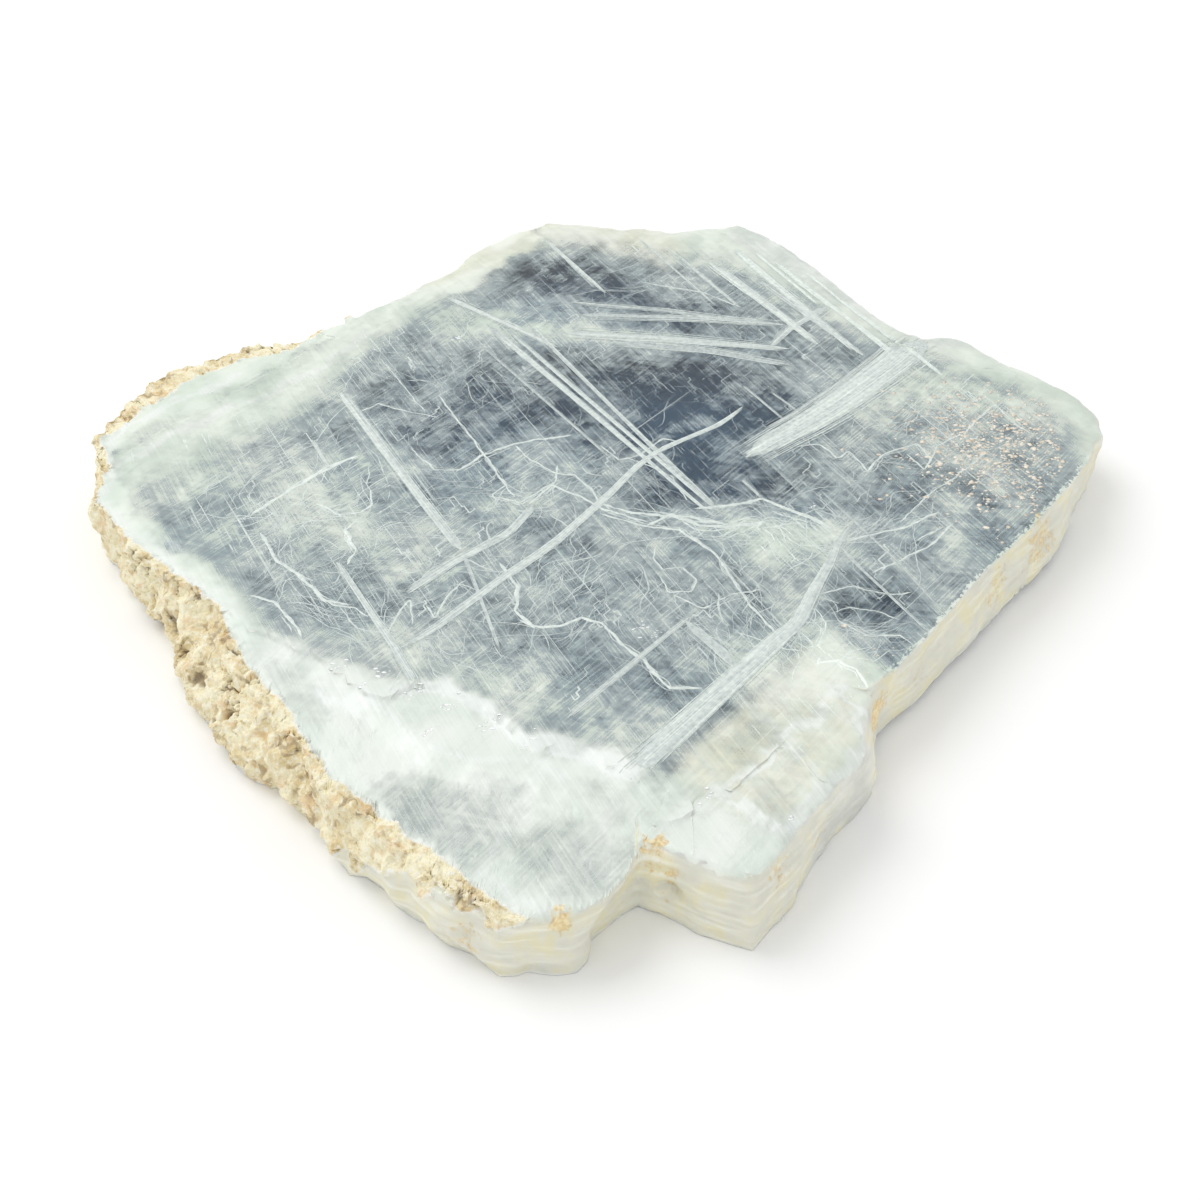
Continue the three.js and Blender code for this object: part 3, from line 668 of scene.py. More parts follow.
def face_normals(corners, triangles):
    """The normal of every triangle, twice as long as the triangle is large."""
    a, b, c = corners[triangles].transpose(1, 0, 2)
    return np.cross(b - a, c - a)


def vertex_normals(corners, triangles):
    face = face_normals(corners, triangles)
    normals = np.zeros_like(corners)
    for i in range(3):
        np.add.at(normals, triangles[:, i], face)
    return normals / (np.linalg.norm(normals, axis=1)[:, None] + TINY)


def upward_share(corners, triangles, low, high):
    """1 where the surface faces up or down, 0 where it is a wall."""
    return smooth(np.abs(vertex_normals(corners, triangles)[:, 2]), low, high)


def slab_surface():
    """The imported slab's surface, cut into small faces."""
    corners, triangles = packed_solid()
    height = corners[triangles][:, :, 2]
    flat_top = height.min(axis=1) > TOP - LEVEL_GAP
    flat_foot = height.max(axis=1) < LEVEL_GAP
    triangles = triangles[~flat_top & ~flat_foot]
    corners, triangles = split_long(corners, triangles, face_size)
    corners, triangles = fill_level(corners, triangles, TOP, FLAT_FACE, True)
    corners, triangles = fill_level(corners, triangles, 0.0, UNDERSIDE_FACE, False)
    used, triangles = np.unique(triangles, return_inverse=True)
    return corners[used], triangles.reshape(-1, 3)


def crust_share(corners):
    """1 on the crusted walls and 0 inside, with an uneven edge. Towards the front tip only the
    upper part of the wall is crusted, and at the back left the crust reaches over the rim."""
    x, y, z = corners.T
    ragged = rough(corners, size=4.0, seed=2.0)
    below = 1.2 * smooth(TOP - z, 0.1, 2.5)
    over_rim = 3.0 * smooth(y, 10, 26)
    share = smooth(-crust_reach(corners[:, :2]) + over_rim + 0.9 * ragged + below, -1.0, 0.6)
    foot = 9.5 * smooth(x - 0.5 * y, -12, 26) + 2.2 * ragged
    return share * smooth(z - foot, -1.5, 0.8)


def eased(corners, triangles, share, rounds):
    """Moves corners towards the middle of their neighbours, by their share, a few times."""
    edges = np.unique(np.sort(edges_of(triangles), axis=1), axis=0)
    both = np.vstack([edges, edges[:, ::-1]])
    count = np.bincount(both[:, 0], minlength=len(corners))[:, None]
    for _ in range(rounds):
        total = np.zeros_like(corners)
        np.add.at(total, both[:, 0], corners[both[:, 1]])
        corners = corners + share[:, None] * (total / count - corners)
    return corners


def weathered(corners, triangles):
    """The slab's surface with its lumps, creases, layers and small steps, and where they are."""
    upward = upward_share(corners, triangles, 0.5, 0.85)
    plane = corners[:, :2]
    flat = (corners[:, 2] > TOP - LEVEL_GAP) | (corners[:, 2] < LEVEL_GAP)
    crust = crust_share(corners)
    # The steps of the frosted floors are worn, so their edges are soft, and the walls a little.
    bare = ~flat & (crust < 0.5)
    worn = (corners[:, 2] > UPPER_SIDE) & bare
    corners = eased(corners, triangles, 0.7 * worn, rounds=9)
    corners = eased(corners, triangles, 0.5 * ((upward < 0.5) & bare), rounds=4)
    upward = upward_share(corners, triangles, 0.45, 0.8)
    creases = 1 - smooth(np.abs(rough(corners, size=4.2, seed=6.0)), 0.0, 0.12)
    creases *= smooth(rough(corners, size=9.0, octaves=2, seed=7.0), -0.2, 0.2)
    out = CRUST_LUMP * rough(corners, size=4.6, seed=1.0) + CRUST_GRAIN * rough(corners, size=1.6, seed=4.0)
    out = crust * (out - CREASE_DEPTH * creases)
    broken = 0.5 * rough(corners, size=2.0, seed=16.0)
    for centre, radius, deep in PITS:
        reach = distance_from(corners, centre) / radius + broken
        pit_and_painted_shade = 1 - smooth(reach, 0.25, 0.95)
        out -= deep * pit_and_painted_shade * crust
        creases = np.maximum(creases, pit_and_painted_shade)
    # Cleaved walls part in thin level layers, each a little in or out of the next.
    layers = rough(corners * np.array([0.12, 0.12, 0.9]), size=1.0, octaves=1, seed=9.0)
    sheets = LAYER_DEPTH * np.tanh(2 * layers) + WALL_SWELL * rough(corners, size=5.0, octaves=2, seed=11.0)
    out += (1 - crust) * (1 - upward) * sheets
    centre, radius, deep = HOLLOW
    out -= deep * (1 - smooth(distance_from(corners, centre), 0.35 * radius, radius))
    # Broken floors go down in small flakes that follow the two cleavage directions.
    floor = upward * ~flat * (corners[:, 2] > UPPER_SIDE)
    flakes = FLAKE_DEPTH * rough(corners, size=2.6, octaves=2, seed=15.0)
    for angle, seed in ((CLEAVAGE_A, 14.0), (CLEAVAGE_B, 17.0)):
        way = along(angle)
        skew = at_height(np.column_stack([plane @ way * 0.3, plane @ turned(-way)]))
        flakes += np.round(2.0 * rough(skew, size=5.0, octaves=1, seed=seed)) * FLAKE_STEP
    out += (1 - crust) * floor * np.clip(flakes, *FLAKE_LIMITS)
    out[flat] = 0
    moved = corners + vertex_normals(corners, triangles) * out[:, None]
    moved[:, 2] = np.clip(moved[:, 2], 0.0, TOP)
    # The third value, the creases and pits of the crust, is where the crust material paints shade.
    return moved, crust, creases * crust, upward


def haze_share(plane):
    """How much haze lies under each place."""
    haze = np.full(len(plane), HAZE_EVERYWHERE)
    for centre, (long, short), turn, amount in HAZE:
        way = along(math.radians(turn))
        gap = plane - np.array(centre)
        reach = np.hypot((gap @ way) / long, (gap @ turned(way)) / short)
        haze += amount * (1 - smooth(reach, 0.15, 1.2))
    return np.clip(haze, 0, 1)


def stain_share(corners):
    """How stained each place is, with uneven edges."""
    stain = np.zeros(len(corners))
    uneven = 0.42 * rough(corners, size=1.8, seed=31.0)
    for centre, radius, strength in STAINS:
        reach = distance_from(corners, centre) / radius + uneven
        stain = np.maximum(stain, strength * (1 - smooth(reach, 0.3, 1.25)))
    return stain


def strongest(value, plane, table):
    """The value, raised to the strength of each outline that a place lies within."""
    for outline, strength, soft in table:
        value = np.maximum(value, strength * within(plane, outline, soft))
    return value


def slab_masks(corners, crust, upward):
    """How white, worn, bright, stained and yellowed each place is."""
    plane = corners[:, :2]
    shifted = plane + 1.8 * np.column_stack([rough(corners, size=6.0, seed=seed) for seed in (21.0, 22.0)])
    frost = strongest(np.zeros(len(corners)), shifted, FROSTED)
    for outline, strength, soft in WINDOWS:
        frost -= strength * within(shifted, outline, soft)
    # The white lip where the crusted rim meets the top.
    reach = crust_reach(plane) + 1.5 * rough(corners, size=3.0, octaves=2, seed=24.0)
    lip = (1 - smooth(reach, 0.8, 3.6)) * smooth(-corners[:, 1], -30, -5)
    frost = np.maximum(frost, lip)
    ridge = np.zeros(len(corners))
    uneven = 1 + 0.5 * rough(corners, size=2.2, octaves=2, seed=26.0)
    for line, half, strength in CRESTS:
        away = np.abs(to_line(shifted, line)) * uneven
        crest = strength * (1 - smooth(away, 0.2 * half, half))
        frost = np.maximum(frost, 0.96 * crest)
        ridge = np.maximum(ridge, crest)
    bright = strongest(np.maximum(0.6 * lip, ridge), shifted, BRIGHT)
    right = smooth(plane @ TO_RIGHT, 38, 54)
    front = smooth(-corners[:, 1], 66, 80)
    walls = 0.9 * (1 - upward) * np.maximum(right, front)
    block = within(shifted, *YELLOW_BLOCK)
    speckle = 0.45 + 0.4 * smooth(rough(corners, size=2.2, seed=27.0), -0.1, 0.35)
    back = 0.6 * within(shifted, *YELLOW_BACK) * upward
    warm = np.maximum(walls, np.maximum(block * speckle, back)) * (1 - 0.8 * ridge)
    level = np.maximum(haze_share(shifted), frost)
    foot = corners[:, 2] < LEVEL_GAP
    level[foot] = 0.12 * frost[foot] + 0.6 * block[foot]
    return {"level": level, "frost": frost, "bright": bright, "stain": stain_share(corners),
            "warm": warm, "crust": crust}


def rim_share(corners, upward):
    """1 on the walls and along the edges above them, falling to 0 a little way in."""
    wall = upward < 0.5
    level = ~wall & (corners[:, 2] > UPPER_SIDE)
    share = np.where(wall, 1.0, 0.0)
    reach = nearest(corners[level], corners[wall & (corners[:, 2] > 0.5 * UPPER_SIDE)])
    share[level] = 1 - smooth(reach, 0.2, 2.6)
    return share


class Nodes:
    """A short way to write a material's node tree."""

    def __init__(self, name):
        self.material = bpy.data.materials.new(name)
        self.material.use_nodes = True
        self.tree = self.material.node_tree
        self.shader = self.tree.nodes["Principled BSDF"]
        self.output = self.tree.nodes["Material Output"]

    def new(self, kind):
        return self.tree.nodes.new("ShaderNode" + kind)

    def put(self, value, socket):
        """Gives a socket a number, a colour or what another node makes."""
        if isinstance(value, (int, float)):
            socket.default_value = value
        elif isinstance(value, tuple):
            socket.default_value = (*value, 1)
        else:
            self.tree.links.new(value, socket)

    def surface(self, name, value):
        self.put(value, self.shader.inputs[name])

    def math(self, operation, a, b, clamp=False):
        node = self.new("Math")
        node.operation = operation
        node.use_clamp = clamp
        self.put(a, node.inputs[0])
        self.put(b, node.inputs[1])
        return node.outputs[0]

    def product(self, a, b):
        return self.math("MULTIPLY", a, b)

    def rest_of(self, share):
        """What is left of the whole beside a share."""
        return self.math("SUBTRACT", 1.0, share, clamp=True)

    def total(self, *shares):
        """The sum of values, each with its weight."""
        result = None
        for value, weight in shares:
            term = self.product(value, weight)
            result = term if result is None else self.math("ADD", result, term)
        return result

    def ramp(self, value, low, high):
        node = self.new("MapRange")
        node.interpolation_type = "SMOOTHSTEP"
        node.inputs["From Min"].default_value = low
        node.inputs["From Max"].default_value = high
        self.put(value, node.inputs["Value"])
        return node.outputs["Result"]

    def mask(self, name):
        node = self.new("Attribute")
        node.attribute_name = name
        return node.outputs["Fac"]

    def blend(self, share, first, second):
        node = self.new("Mix")
        node.data_type = "RGBA"
        self.put(share, node.inputs[0])
        self.put(first, node.inputs[6])
        self.put(second, node.inputs[7])
        return node.outputs[2]

    def place(self):
        return self.new("TexCoord").outputs["Object"]

    def texture(self, place, scale, flat=False, detail=2, roughness=0.5, distortion=0.0, ridged=False):
        texture = self.new("TexNoise")
        texture.noise_dimensions = "2D" if flat else "3D"
        texture.inputs["Scale"].default_value = scale
        texture.inputs["Detail"].default_value = detail
        texture.inputs["Roughness"].default_value = roughness
        texture.inputs["Distortion"].default_value = distortion
        if ridged:
            texture.noise_type = "RIDGED_MULTIFRACTAL"
            texture.inputs["Offset"].default_value = 1.0
        self.put(place, texture.inputs["Vector"])
        return texture.outputs["Fac"]

    def noise(self, size, **looks):
        """Noise with lumps of the given size in millimetres."""
        return self.texture(self.place(), 1 / (size * MM), **looks)

    def skewed(self, size_a, size_b, way=CLEAVAGE_A, crossing=CLEAVAGE_B):
        """Places over the flat faces, counted in the given sizes along two crossing directions."""
        place = self.place()
        join = self.new("CombineXYZ")
        turn = math.sin(way - crossing) * MM
        for axis, (angle, size) in enumerate(((crossing, size_a), (way, -size_b))):
            # How far along one direction a place is, when the rest of the way goes along the other.
            measure = self.new("VectorMath")
            measure.operation = "DOT_PRODUCT"
            scale = 1 / (turn * size)
            measure.inputs[1].default_value = (-math.sin(angle) * scale, math.cos(angle) * scale, 0)
            self.put(place, measure.inputs[0])
            self.put(measure.outputs["Value"], join.inputs[axis])
        return join.outputs[0]

    def cleaved(self, size_a, size_b, way=CLEAVAGE_A, crossing=CLEAVAGE_B, **looks):
        """Noise over the flat faces, with lumps of the given sizes along two crossing directions."""
        return self.texture(self.skewed(size_a, size_b, way, crossing), 1.0, flat=True, **looks)

    def layered(self, wide, thick, **looks):
        """Noise in level layers, with lumps of the given width and thickness."""
        flatten = self.new("VectorMath")
        flatten.operation = "MULTIPLY"
        flatten.inputs[1].default_value = (1 / (wide * MM), 1 / (wide * MM), 1 / (thick * MM))
        self.put(self.place(), flatten.inputs[0])
        return self.texture(flatten.outputs[0], 1.0, **looks)

    def panels(self, size_a, size_b):
        """Flat patches bounded along A and B, each a little lighter or darker than the next."""
        texture = self.new("TexVoronoi")
        texture.voronoi_dimensions = "2D"
        texture.distance = "CHEBYCHEV"
        texture.inputs["Scale"].default_value = 1.0
        self.put(self.skewed(size_a, size_b), texture.inputs["Vector"])
        parts = self.new("SeparateColor")
        self.put(texture.outputs["Color"], parts.inputs[0])
        return parts.outputs[0]

    def stained(self):
        """Where the stains are, broken up into small grains."""
        grains = self.noise(1.1, roughness=0.75)
        return self.ramp(self.total((self.mask("stain"), 0.8), (grains, 1.0)), 0.78, 1.12)

    def bump(self, height, strength):
        node = self.new("Bump")
        node.inputs["Strength"].default_value = strength
        node.inputs["Distance"].default_value = 1.0 * MM
        self.put(height, node.inputs["Height"])
        self.surface("Normal", node.outputs[0])

    def clear_inside(self):
        """What the crystal takes from the light inside it."""
        self.surface("IOR", GYPSUM_IOR)
        absorb = self.new("VolumeAbsorption")
        absorb.inputs["Density"].default_value = ABSORPTION_DENSITY
        self.put(ABSORPTION_COLOUR, absorb.inputs["Color"])
        self.put(absorb.outputs[0], self.output.inputs["Volume"])


def crystal_material():
    """The clear faces: glassy, with white haze, bars and streaks that grow with the level."""
    n = Nodes("selenite_crystal")
    level, frost, bright = n.mask("level"), n.mask("frost"), n.mask("bright")
    stain, warm, rim = n.stained(), n.mask("warm"), n.mask("rim")
    cloud = n.ramp(n.cleaved(13.0, 15.0), 0.34, 0.66)
    puff = n.ramp(n.cleaved(5.0, 7.0, roughness=0.45), 0.34, 0.66)
    cells = n.ramp(n.cleaved(2.2, 4.5, detail=3, roughness=0.62), 0.34, 0.66)
    drift = n.ramp(n.cleaved(9.0, 1.2, DRIFT, ACROSS_DRIFT, detail=3, distortion=0.4), 0.34, 0.68)
    patch = n.ramp(n.cleaved(9.0, 9.0, detail=0), 0.42, 0.58)
    streak_a = n.ramp(n.cleaved(16.0, 0.35, detail=1), 0.40, 0.72)
    streak_b = n.ramp(n.cleaved(0.4, 10.0, detail=1), 0.40, 0.72)
    streaks = n.math("ADD", n.product(streak_a, patch), n.product(streak_b, n.rest_of(patch)))
    bars = n.ramp(n.cleaved(30.0, 2.4, detail=1), 0.42, 0.62)
    panels = n.panels(6.5, 9.0)
    mottle = n.ramp(n.cleaved(0.7, 0.9, roughness=0.65), 0.34, 0.66)
    grain = n.total((cloud, 0.20), (puff, 0.20), (cells, 0.16), (drift, 0.16), (streaks, 0.24),
                    (bars, 0.14), (panels, 0.09), (mottle, 0.06))
    uneven = n.math("SUBTRACT", grain, 0.56)
    contrast = n.math("SUBTRACT", 0.92, n.total((level, 0.35), (frost, 0.38)))
    white = n.math("ADD", level, n.product(uneven, contrast))
    edge = n.product(n.ramp(n.math("ADD", rim, n.product(mottle, 0.25)), 0.72, 1.1), 0.9)
    white = n.math("MINIMUM", n.math("MAXIMUM", white, edge), 0.95)
    white = n.math("MAXIMUM", white, n.product(stain, 0.9), clamp=True)
    n.surface("Transmission Weight", n.rest_of(white))
    blue = n.blend(cloud, *HAZE_BLUE)
    green = n.blend(n.ramp(white, 0.38, 0.80), blue, n.blend(cloud, *HAZE_GREEN))
    pale = n.blend(n.total((cloud, 0.6), (streak_a, 0.4)), *FROST_WHITE)
    colour = n.blend(warm, n.blend(bright, green, pale), n.blend(cloud, *FROST_YELLOW))
    orange = n.blend(n.ramp(n.noise(0.6, detail=1), 0.38, 0.62), *TOP_STAIN)
    n.surface("Base Color", n.blend(n.product(stain, 0.85), colour, orange))
    n.surface("Roughness", n.total((n.ramp(white, 0.15, 0.9), 0.36), (mottle, 0.05)))
    n.bump(n.product(mottle, n.product(frost, 0.012)), 0.5)
    n.clear_inside()
    return n.material


def wall_material():
    """The broken and cleaved walls: waxy, pale and a little yellow, with thin level layers."""
    n = Nodes("selenite_wall")
    stain, warm = n.stained(), n.mask("warm")
    cloud = n.noise(5.0, roughness=0.6)
    fine = n.noise(0.8, roughness=0.7)
    layer = n.layered(9.0, 0.7, roughness=0.6)
    white = n.total((n.ramp(cloud, 0.3, 0.7), 0.14), (n.ramp(layer, 0.4, 0.65), 0.10), (warm, 0.08))
    white = n.math("MAXIMUM", n.math("ADD", white, 0.66), stain, clamp=True)
    n.surface("Transmission Weight", n.rest_of(white))
    pale = n.blend(n.ramp(cloud, 0.35, 0.65), *WALL_PALE)
    cream = n.blend(n.ramp(cloud, 0.42, 0.66), *WALL_CREAM)
    cream = n.blend(n.ramp(layer, 0.5, 0.75), cream, WALL_LAYER)
    orange = n.blend(n.ramp(fine, 0.35, 0.65), *WALL_STAIN)
    n.surface("Base Color", n.blend(n.product(stain, 0.9), n.blend(warm, pale, cream), orange))
    n.surface("Roughness", n.total((fine, 0.5), (cloud, 0.6)))
    n.bump(n.total((layer, 0.03), (fine, 0.02)), 0.4)
    n.clear_inside()
    return n.material


def crust_material():
    """The weathered crust: cream and tan grains, brown shade painted in its hollows, white where it thins
    out.
    """
    n = Nodes("weathered_crust")
    # The crease and pit mask tells where shade is painted.
    crust, painted_crease_shade, stain = n.mask("crust"), n.mask("pit_and_painted_shade"), n.stained()
    grain = n.noise(0.8, detail=4, roughness=0.75)
    patch = n.noise(5.5, detail=5, distortion=0.4, roughness=0.62)
    rust = n.noise(3.0, detail=4, distortion=0.6, roughness=0.6)
    crack = n.noise(3.4, detail=5, distortion=0.5, roughness=0.6, ridged=True)
    tan = n.blend(n.ramp(patch, 0.42, 0.60), *CRUST_TAN)
    # Painted shade along the noise crevices, which the bump sinks a little.
    crevice_shade = n.product(n.ramp(crack, *CREVICE_SHADE_RANGE), n.ramp(patch, 0.46, 0.58))
    for share, strength, colour in (
        (n.ramp(grain, 0.48, 0.64), 0.8, CRUST_CHALK),
        (n.ramp(rust, 0.52, 0.66), 0.6, CRUST_RUST),
        (n.ramp(grain, 0.48, 0.32), 0.4, CRUST_SHADE),
        (crevice_shade, 0.6, CRUST_CREVICE_SHADE),
        (n.ramp(painted_crease_shade, 0.45, 0.95), 0.75, CRUST_PIT_SHADE),
        (stain, 0.5, CRUST_STAIN),
    ):
        tan = n.blend(n.product(share, strength), tan, colour)
    n.surface("Base Color", n.blend(n.ramp(crust, 0.5, 0.85), CRUST_THIN, tan))
    n.surface("Roughness", 0.85)
    n.bump(n.total((grain, 0.45), (crack, -0.05), (patch, 0.3)), 0.8)
    n.clear_inside()
    return n.material


def vein_material():
    """The white of the cracks and veils, as light as each strand's own tone."""
    n = Nodes("vein_white")
    uneven = n.noise(0.7, detail=1)
    change = n.product(n.math("SUBTRACT", uneven, 0.5), 0.5)
    tone = n.math("ADD", n.mask("tone"), change, clamp=True)
    n.surface("Base Color", n.blend(tone, *VEIN_WHITE))
    n.surface("Roughness", n.total((uneven, 0.2), (tone, 0.4)))
    return n.material


def grain_material(name, colours, roughness):
    """Small grains and flakes, each a little lighter or darker."""
    n = Nodes(name)
    n.surface("Base Color", n.blend(n.ramp(n.cleaved(1.0, 1.0), 0.35, 0.65), *colours))
    n.surface("Roughness", roughness)
    return n.material


def strands(name, paths, width, height, tone):
    """Closed thin strands with pointed ends as one mesh.

    paths holds as many points for each strand, width and height its half sizes at each point, and
    tone how white each strand is.
    """
    count, steps = paths.shape[:2]
    tangent = np.gradient(paths, axis=1)
    sideways = np.stack([-tangent[:, :, 1], tangent[:, :, 0], np.zeros((count, steps))], axis=2)
    sideways /= np.linalg.norm(sideways, axis=2)[:, :, None] + TINY
    sideways *= width[:, :, None]
    upward = np.array([0.0, 0.0, 1.0]) * height[:, :, None]
    ring = np.stack([paths + sideways, paths + upward, paths - sideways, paths - upward], axis=2)[:, 1:-1]
    inner = steps - 2
    per_strand = 4 * inner + 2
    corners = np.concatenate([paths[:, :1], ring.reshape(count, 4 * inner, 3), paths[:, -1:]], axis=1)
    faces = []
    last = per_strand - 1
    for side in range(4):
        following = (side + 1) % 4
        faces.append((0, 1 + side, 1 + following))
        faces.append((last, last - 4 + following, last - 4 + side))
        for row in range(inner - 1):
            a, b = 1 + 4 * row + side, 1 + 4 * row + following
            faces += [(a, a + 4, b + 4), (a, b + 4, b)]
    faces = np.array(faces)[:, ::-1]
    triangles = faces[None] + (np.arange(count) * per_strand)[:, None, None]
    piece = new_mesh(name, corners.reshape(-1, 3), triangles.reshape(-1, 3))
    piece.data.shade_flat()
    give_values(piece, "tone", np.repeat(tone, per_strand))
    return piece


class Face:
    """The slab's upper face, to lay things on."""

    def __init__(self, corners, triangles, level):
        self.tree = bvhtree.BVHTree.FromPolygons(corners.tolist(), triangles.tolist())
        self.level = level[triangles].mean(axis=1)

    def spot(self, x, y):
        """The height of the face at one place, and how white it is there."""
        found, _, index, _ = self.tree.ray_cast(Vector((x, y, 2 * TOP)), Vector((0, 0, -1)))
        return (0.0, 0.0) if found is None else (found.z, self.level[index])

    def laid(self, paths, above, drop=STEP_DROP):
        """The paths with their heights, which of them lie on the face without a greater drop in
        them, and how white it is there."""
        spots = np.array([[self.spot(x, y) for x, y in path] for path in paths])
        height, level = spots[:, :, 0], spots[:, :, 1]
        whole = (height.min(axis=1) > UPPER_SIDE) & (np.ptp(height, axis=1) < drop)
        raised = height + np.reshape(above, (-1, 1))
        return np.concatenate([paths, raised[:, :, None]], axis=2), whole, level.mean(axis=1)


def placed(line, share):
    """Points at shares of a line's length, the line's direction there, and its length."""
    line = np.array(line, float)
    steps = np.diff(line, axis=0)
    lengths = np.hypot(*steps.T)
    reach = np.concatenate([[0], np.cumsum(lengths)])
    at = share * reach[-1]
    index = np.clip(np.searchsorted(reach, at, side="right") - 1, 0, len(steps) - 1)
    unit = steps / lengths[:, None]
    return line[index] + unit[index] * (at - reach[index])[:, None], unit[index], reach[-1]


def sideways_of(unit):
    """The directions across a line, from its directions along it."""
    return np.column_stack([-unit[:, 1], unit[:, 0]])


def ways(angle):
    return np.column_stack([np.cos(angle), np.sin(angle)])


def on_top(place, margin):
    """True where a place lies on the flat top, at least margin from its edge."""
    distance = np.abs(to_line(place, TOP_OUTLINE, closed=True))
    return inside(place, TOP_OUTLINE) & (distance > margin)


def bands(face):
    """Every cleavage crack as one flat strip at the polished face."""
    share = np.linspace(0, 1, BAND_POINTS)
    paths, widths, tones = [], [], []
    for line, (start_width, end_width), fullness in CRACKS:
        path, _, length = placed(line, share)
        core = 0.45 + 0.45 * min(1.0, fullness) ** 2
        spread = core * (start_width + (end_width - start_width) * share) / 2
        spread = spread * (1 + 0.15 * rough(at_height(path), size=4.0, octaves=2, seed=61.0))
        paths.append(path)
        taper = 1.2 + 0.8 * max(start_width, end_width)
        widths.append(spread * smooth(np.minimum(share, 1 - share) * length, -0.4 * taper, taper))
        tones.append(0.30 + 0.30 * fullness)
    above = BAND_ABOVE + rng.uniform(0.0, 0.004, len(paths))
    paths, whole, level = face.laid(np.array(paths), above)
    widths = np.array(widths)[whole]
    tone = np.maximum(np.array(tones), level + 0.05)[whole]
    return strands("cleavage_bands", paths[whole], widths, np.full(widths.shape, BAND_HALF), tone)


def band_fibres(face):
    """The long fine fibres in the cleavage cracks and along their edges."""
    edges = 2
    paths, widths, tones = [], [], []
    for line, (start_width, end_width), fullness in CRACKS:
        _, _, length = placed(line, np.zeros(1))
        broad = (start_width + end_width) / 2
        count = int(fullness * (10 + 12 * broad) * (0.6 + length / 40))
        reach = rng.uniform(0.25, 1.0, count)
        start = rng.uniform(-0.15, 1.1, count) * (1 - reach)
        offset = rng.normal(0, 0.30, count).clip(-0.7, 0.7)
        reach[:edges], start[:edges] = 1.0, 0.0
        offset[:edges] = (-0.45, 0.45)
        for index in range(count):
            share = np.clip(start[index] + reach[index] * np.linspace(0, 1, FIBRE_POINTS), 0, 1)
            path, unit, _ = placed(line, share)
            spread = start_width + (end_width - start_width) * share
            paths.append(path + sideways_of(unit) * (offset[index] * spread)[:, None])
        thick = rng.uniform(0.03, 0.11, count)
        thick[:edges] = 0.075
        thick *= min(1.0, 0.4 + 0.6 * broad)
        widths.append(np.repeat(thick[:, None], FIBRE_POINTS, axis=1))
        tone = 0.40 + 0.28 * fullness + rng.uniform(-0.20, 0.22, count)
        tone[:edges] = 0.42 + 0.32 * fullness
        tones.append(tone)
    paths = np.array(paths) + rng.normal(0, 0.012, (len(paths), FIBRE_POINTS, 2))
    paths, whole, level = face.laid(paths, FIBRE_ABOVE)
    widths = np.concatenate(widths)[whole]
    tone = np.maximum(np.concatenate(tones), level + 0.05)[whole]
    return strands("band_fibres", paths[whole], widths, 0.2 * widths, tone)


def threads(name, face, paths, widths, height_share, lighter):
    """Fine threads on the face, each some way from the white of its place to full white."""
    paths, whole, level = face.laid(paths, THREAD_ABOVE, THREAD_DROP)
    widths = np.broadcast_to(widths, paths.shape[:2])[whole]
    tone = level + lighter * (THREAD_WHITE - level)
    return strands(name, paths[whole], widths, height_share * widths, tone[whole])


def hairlines(face):
    """Fine straight cleavage lines all over the crystal, most of them along A."""
    count = HAIRLINES
    place = np.column_stack([rng.uniform(-78, 84, count), rng.uniform(-68, 86, count)])
    weight = rough(at_height(place), size=14.0, seed=41.0)
    place = place[weight > -0.10 + rng.uniform(-0.25, 0.25, count)]
    place = place[on_top(place, 2.5)]
    count = len(place)
    angle = np.where(rng.uniform(0, 1, count) < 0.72, CLEAVAGE_A, CLEAVAGE_B) + rng.normal(0, 0.01, count)
    reach = rng.gamma(1.6, 2.0, count).clip(0.4, 14)
    long = rng.uniform(0, 1, count) < 0.05
    reach[long] += rng.uniform(6, 14, long.sum())
    points = [place + ways(angle) * (end * reach)[:, None] for end in (-1, -0.4, 0.3, 1)]
    width = rng.gamma(3.0, 0.013, count).clip(0.02, 0.1)
    lighter = np.where(long, 0.32, rng.uniform(0.08, 0.3, count))
    return threads("hairlines", face, np.stack(points, axis=1), width[:, None], 0.4, lighter)


def cleavage_steps(face):
    """Small steps that turn from one cleavage direction to the other and back."""
    count = CLEAVAGE_STEPS
    place = np.column_stack([rng.uniform(-72, 80, count), rng.uniform(-58, 80, count)])
    place = place[rough(at_height(place), size=11.0, octaves=2, seed=71.0) > 0.0]
    place = place[on_top(place, 5.0)]
    count = len(place)
    first = rng.integers(0, 2, count)
    points = [place]
    for turn in range(TURNS_EACH):
        angle = np.where((first + turn) % 2 == 0, CLEAVAGE_A, CLEAVAGE_B)
        side = np.where(rng.uniform(0, 1, count) < 0.85, 1, -1)
        stride = side * rng.gamma(1.5, 1.0, count).clip(0.3, 5)
        step = ways(angle) * stride[:, None]
        points += [points[-1] + 0.93 * step, points[-1] + step]
    width = rng.gamma(3.0, 0.02, count).clip(0.03, 0.14)
    lighter = rng.uniform(0.1, 0.4, count)
    return threads("cleavage_steps", face, np.stack(points, axis=1), width[:, None], 0.3, lighter)


